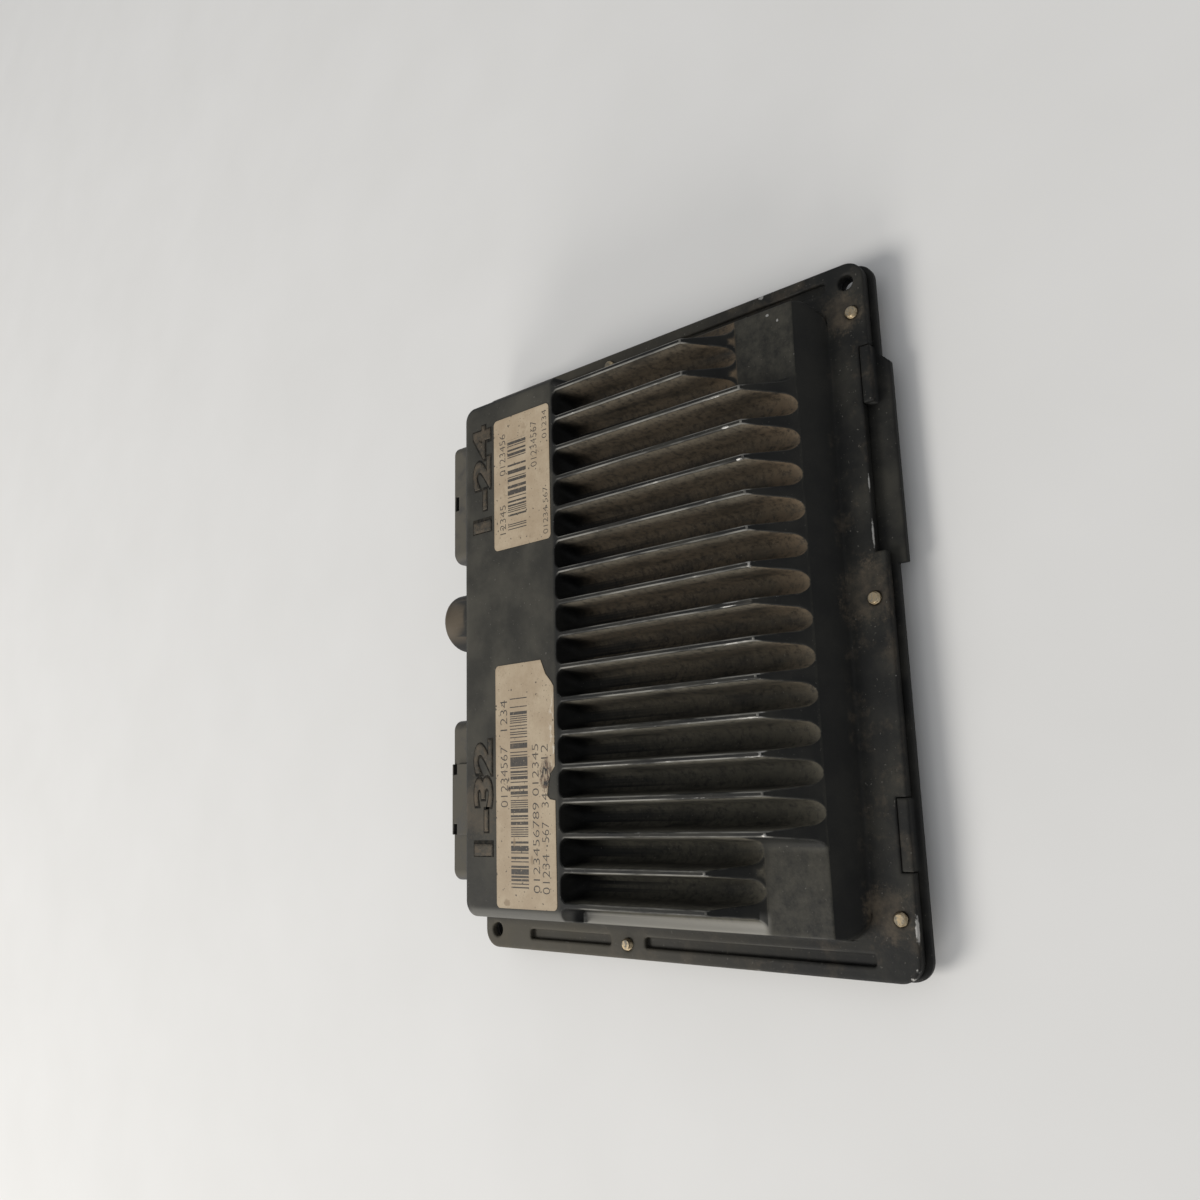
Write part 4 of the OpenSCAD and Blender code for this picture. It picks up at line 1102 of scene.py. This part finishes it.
def screw_mesh(name, shank, head, head_low, head_high, shank_high, pitch):
    """A screw standing along Z, with its head at the bottom."""
    rings = head_rings(head, head_low, head_high)
    for radius in (head, shank):
        rings.append(level_ring([radius] * len(RING), head_high))
    rings += shank_rings(shank, head_high, shank_high, pitch)
    shape = bmesh.new()
    middle = shape.verts.new((0.0, 0.0, (head_low + RECESS) * MM))
    corners = [[shape.verts.new(Vector(point) * MM) for point in ring] for ring in rings]
    for inner, outer in zip(corners, corners[1:]):
        for k in range(len(RING)):
            shape.faces.new((inner[k - 1], outer[k - 1], outer[k], inner[k]))
    for k in range(len(RING)):
        shape.faces.new((middle, corners[0][k - 1], corners[0][k]))
    shape.faces.new(corners[-1])
    bmesh.ops.recalc_face_normals(shape, faces=shape.faces)
    mesh = bpy.data.meshes.new(name)
    shape.to_mesh(mesh)
    shape.free()
    return mesh


def places_of(node_name):
    """Middle of each loose piece of a CAD node, seen from above."""
    shape = shared_corners(node_name)
    waiting = set(shape.verts)
    middles = []
    while waiting:
        group = [waiting.pop()]
        for v in group:
            for edge in v.link_edges:
                other = edge.other_vert(v)
                if other in waiting:
                    waiting.discard(other)
                    group.append(other)
        middle = []
        for axis in range(2):
            along = [v.co[axis] for v in group]
            middle.append((min(along) + max(along)) / 2)
        middles.append((*middle, 0.0))
    shape.free()
    return sorted(middles)


cover_screw = screw_mesh("cover_screw", **SCREW_SIZES)
cover_places = places_of("cover_screws")
print("one screw has", len(cover_screw.polygons), "faces, for", len(cover_places), "places")

# %% [markdown]
# ## Setting the screws in place
# The tree takes a mesh whose corners are the places, the screw to set there, a seed and a finish. It
# turns each copy about its own axis, makes the copies real and gives them their finish. The result
# becomes a plain mesh.


# %% Geometry Nodes tree for the screws
def screw_tree():
    """A tree that sets one object on every corner of a mesh, turned at random."""
    tree = bpy.data.node_groups.new("set_screws", "GeometryNodeTree")
    sockets = {}
    kinds = {"Places": "Geometry", "Screw": "Object", "Seed": "Int", "Finish": "Material"}
    for name, kind in kinds.items():
        sockets[name] = tree.interface.new_socket(name, in_out="INPUT", socket_type="NodeSocket" + kind)
    tree.interface.new_socket("Screws", in_out="OUTPUT", socket_type="NodeSocketGeometry")
    start = tree.nodes.new("NodeGroupInput")
    pattern = tree.nodes.new("GeometryNodeObjectInfo")
    turn = tree.nodes.new("FunctionNodeRandomValue")
    for socket in turn.inputs:
        if socket.name == "Max" and socket.type == "VALUE":
            socket.default_value = math.tau
    about_axis = tree.nodes.new("ShaderNodeCombineXYZ")
    copies = tree.nodes.new("GeometryNodeInstanceOnPoints")
    real = tree.nodes.new("GeometryNodeRealizeInstances")
    coat = tree.nodes.new("GeometryNodeSetMaterial")
    end = tree.nodes.new("NodeGroupOutput")
    random_number = [socket for socket in turn.outputs if socket.type == "VALUE"][0]
    link = tree.links.new
    link(start.outputs["Places"], copies.inputs["Points"])
    link(start.outputs["Screw"], pattern.inputs["Object"])
    link(start.outputs["Seed"], turn.inputs["Seed"])
    link(random_number, about_axis.inputs["Z"])
    link(pattern.outputs["Geometry"], copies.inputs["Instance"])
    link(about_axis.outputs["Vector"], copies.inputs["Rotation"])
    link(copies.outputs["Instances"], real.inputs["Geometry"])
    link(real.outputs["Geometry"], coat.inputs["Geometry"])
    link(start.outputs["Finish"], coat.inputs["Material"])
    link(coat.outputs["Geometry"], end.inputs["Screws"])
    return tree, {name: socket.identifier for name, socket in sockets.items()}


print("screw tree can be built")


# %% Cover screws
SCREW_SEED = 7
ZINC_DARK = (0.30, 0.23, 0.14, 1)
ZINC_LIGHT = (0.54, 0.45, 0.31, 1)


def set_screws(name, pattern_mesh, places, seed, finish):
    """Copies of a screw on all places, as one plain mesh."""
    pattern = bpy.data.objects.new("screw_pattern", pattern_mesh)
    bpy.context.scene.collection.objects.link(pattern)
    place_mesh = bpy.data.meshes.new(name)
    place_mesh.from_pydata(places, [], [])
    piece = bpy.data.objects.new(name, place_mesh)
    bpy.context.scene.collection.objects.link(piece)
    setter = piece.modifiers.new("set_screws", "NODES")
    tree, keys = screw_tree()
    setter.node_group = tree
    setter[keys["Screw"]] = pattern
    setter[keys["Seed"]] = seed
    setter[keys["Finish"]] = finish
    mesh = plain_mesh(piece)
    bpy.data.objects.remove(pattern)
    mesh.shade_smooth()
    mesh.set_sharp_from_angle(angle=SHARP_SHADING)
    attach(piece, "root")
    print(name, "has", len(mesh.polygons), "faces")
    return piece


def dulled_zinc():
    """Yellowed zinc plate with road dust on whatever faces up."""
    material, tree, shader, place = new_finish("dulled_zinc")
    cloud = noise(tree, place, 1.1, 4.0, 0.6)
    zinc = mixed(tree, fade(tree, cloud, 0.3, 0.7), ZINC_DARK, ZINC_LIGHT)
    dust = product(tree, fade(tree, facing(tree)[2], 0.9, 0.98), fade(tree, cloud, 0.35, 0.65))
    fill(tree, shader.inputs["Base Color"], mixed(tree, dust, zinc, GREY_TAN))
    fill(tree, shader.inputs["Metallic"], calc(tree, "SUBTRACT", 1.0, dust))
    fill(tree, shader.inputs["Roughness"], mixed_value(tree, cloud, 0.4, 0.6))
    fill(tree, shader.inputs["Normal"], bump(tree, noise(tree, place, 0.4, 2.0), 0.02))
    return material


cover_screws = set_screws("cover_screws_threaded", cover_screw, cover_places, SCREW_SEED, dulled_zinc())
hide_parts("cover_screws")

# %% [markdown]
# ## Terminals, seals and the parts inside
# Everything else keeps its solid from the CAD model and only needs a finish. Each is a mix of two close
# tones by fine noise, with a slight unevenness in gloss and surface. The terminals can be seen in the
# sockets. The board and its parts are closed in, and are finished plainly for whoever opens the model
# up.

# %% Finishes for the remaining solids
# Nodes, dark tone, light tone, grain in millimetres, roughness and metal share of each finish
REMAINING = {
    "sealant": (("cover_gasket", "header_24_seal", "header_32_seal"),
                (0.016, 0.016, 0.016, 1), (0.03, 0.03, 0.029, 1), 2.0, 0.7, 0.0),
    "tin_plate": (("header_24_pins", "header_32_pins"),
                  (0.50, 0.46, 0.36, 1), (0.68, 0.64, 0.54, 1), 0.8, 0.35, 1.0),
    "board_laminate": (("circuit_board",), (0.012, 0.06, 0.025, 1), (0.02, 0.10, 0.04, 1), 3.0, 0.4, 0.0),
    "board_zinc": (("board_screws",), (0.45, 0.44, 0.42, 1), (0.62, 0.61, 0.6, 1), 0.9, 0.38, 1.0),
    "moulded_epoxy": (("processor", "memory_chip", "driver_chips", "interface_chips", "power_transistors",
                       "voltage_regulator", "suppressor_diode"),
                      (0.012, 0.012, 0.013, 1), (0.024, 0.024, 0.026, 1), 0.7, 0.6, 0.0),
    "soft_silicone": (("thermal_pads",), (0.36, 0.38, 0.42, 1), (0.46, 0.48, 0.52, 1), 1.4, 0.8, 0.0),
    "can_sleeve": (("electrolytic_capacitors",),
                   (0.02, 0.025, 0.06, 1), (0.035, 0.042, 0.09, 1), 1.6, 0.4, 0.0),
    "copper_winding": (("choke_coil",), (0.30, 0.11, 0.045, 1), (0.48, 0.2, 0.09, 1), 0.9, 0.4, 1.0),
    "plated_can": (("crystal",), (0.58, 0.58, 0.6, 1), (0.7, 0.7, 0.72, 1), 1.2, 0.3, 1.0),
    "dipped_resin": (("resistor_networks",),
                     (0.2, 0.035, 0.025, 1), (0.3, 0.06, 0.04, 1), 1.1, 0.35, 0.0),
    "fired_ceramic": (("chip_resistors", "chip_capacitors"),
                      (0.22, 0.17, 0.11, 1), (0.34, 0.27, 0.18, 1), 0.5, 0.6, 0.0),
}


def speckled(name, dark, light, grain, roughness, metallic):
    """A plain material made lively by fine noise in its colour, its gloss and its surface."""
    material, tree, shader, place = new_finish(name)
    cloud = noise(tree, place, grain, 4.0, 0.6)
    fill(tree, shader.inputs["Base Color"], mixed(tree, fade(tree, cloud, 0.3, 0.7), dark, light))
    fill(tree, shader.inputs["Roughness"], mixed_value(tree, cloud, roughness - 0.1, roughness + 0.1))
    fill(tree, shader.inputs["Metallic"], metallic)
    fill(tree, shader.inputs["Normal"], bump(tree, noise(tree, place, grain * 0.3, 2.0), 0.02))
    return material


for finish_name, (node_names, *finish_values) in REMAINING.items():
    finish = speckled(finish_name, *finish_values)
    for node_name in node_names:
        nodes[node_name].data.materials.clear()
        nodes[node_name].data.materials.append(finish)
    print(finish_name, "on", ", ".join(node_names))
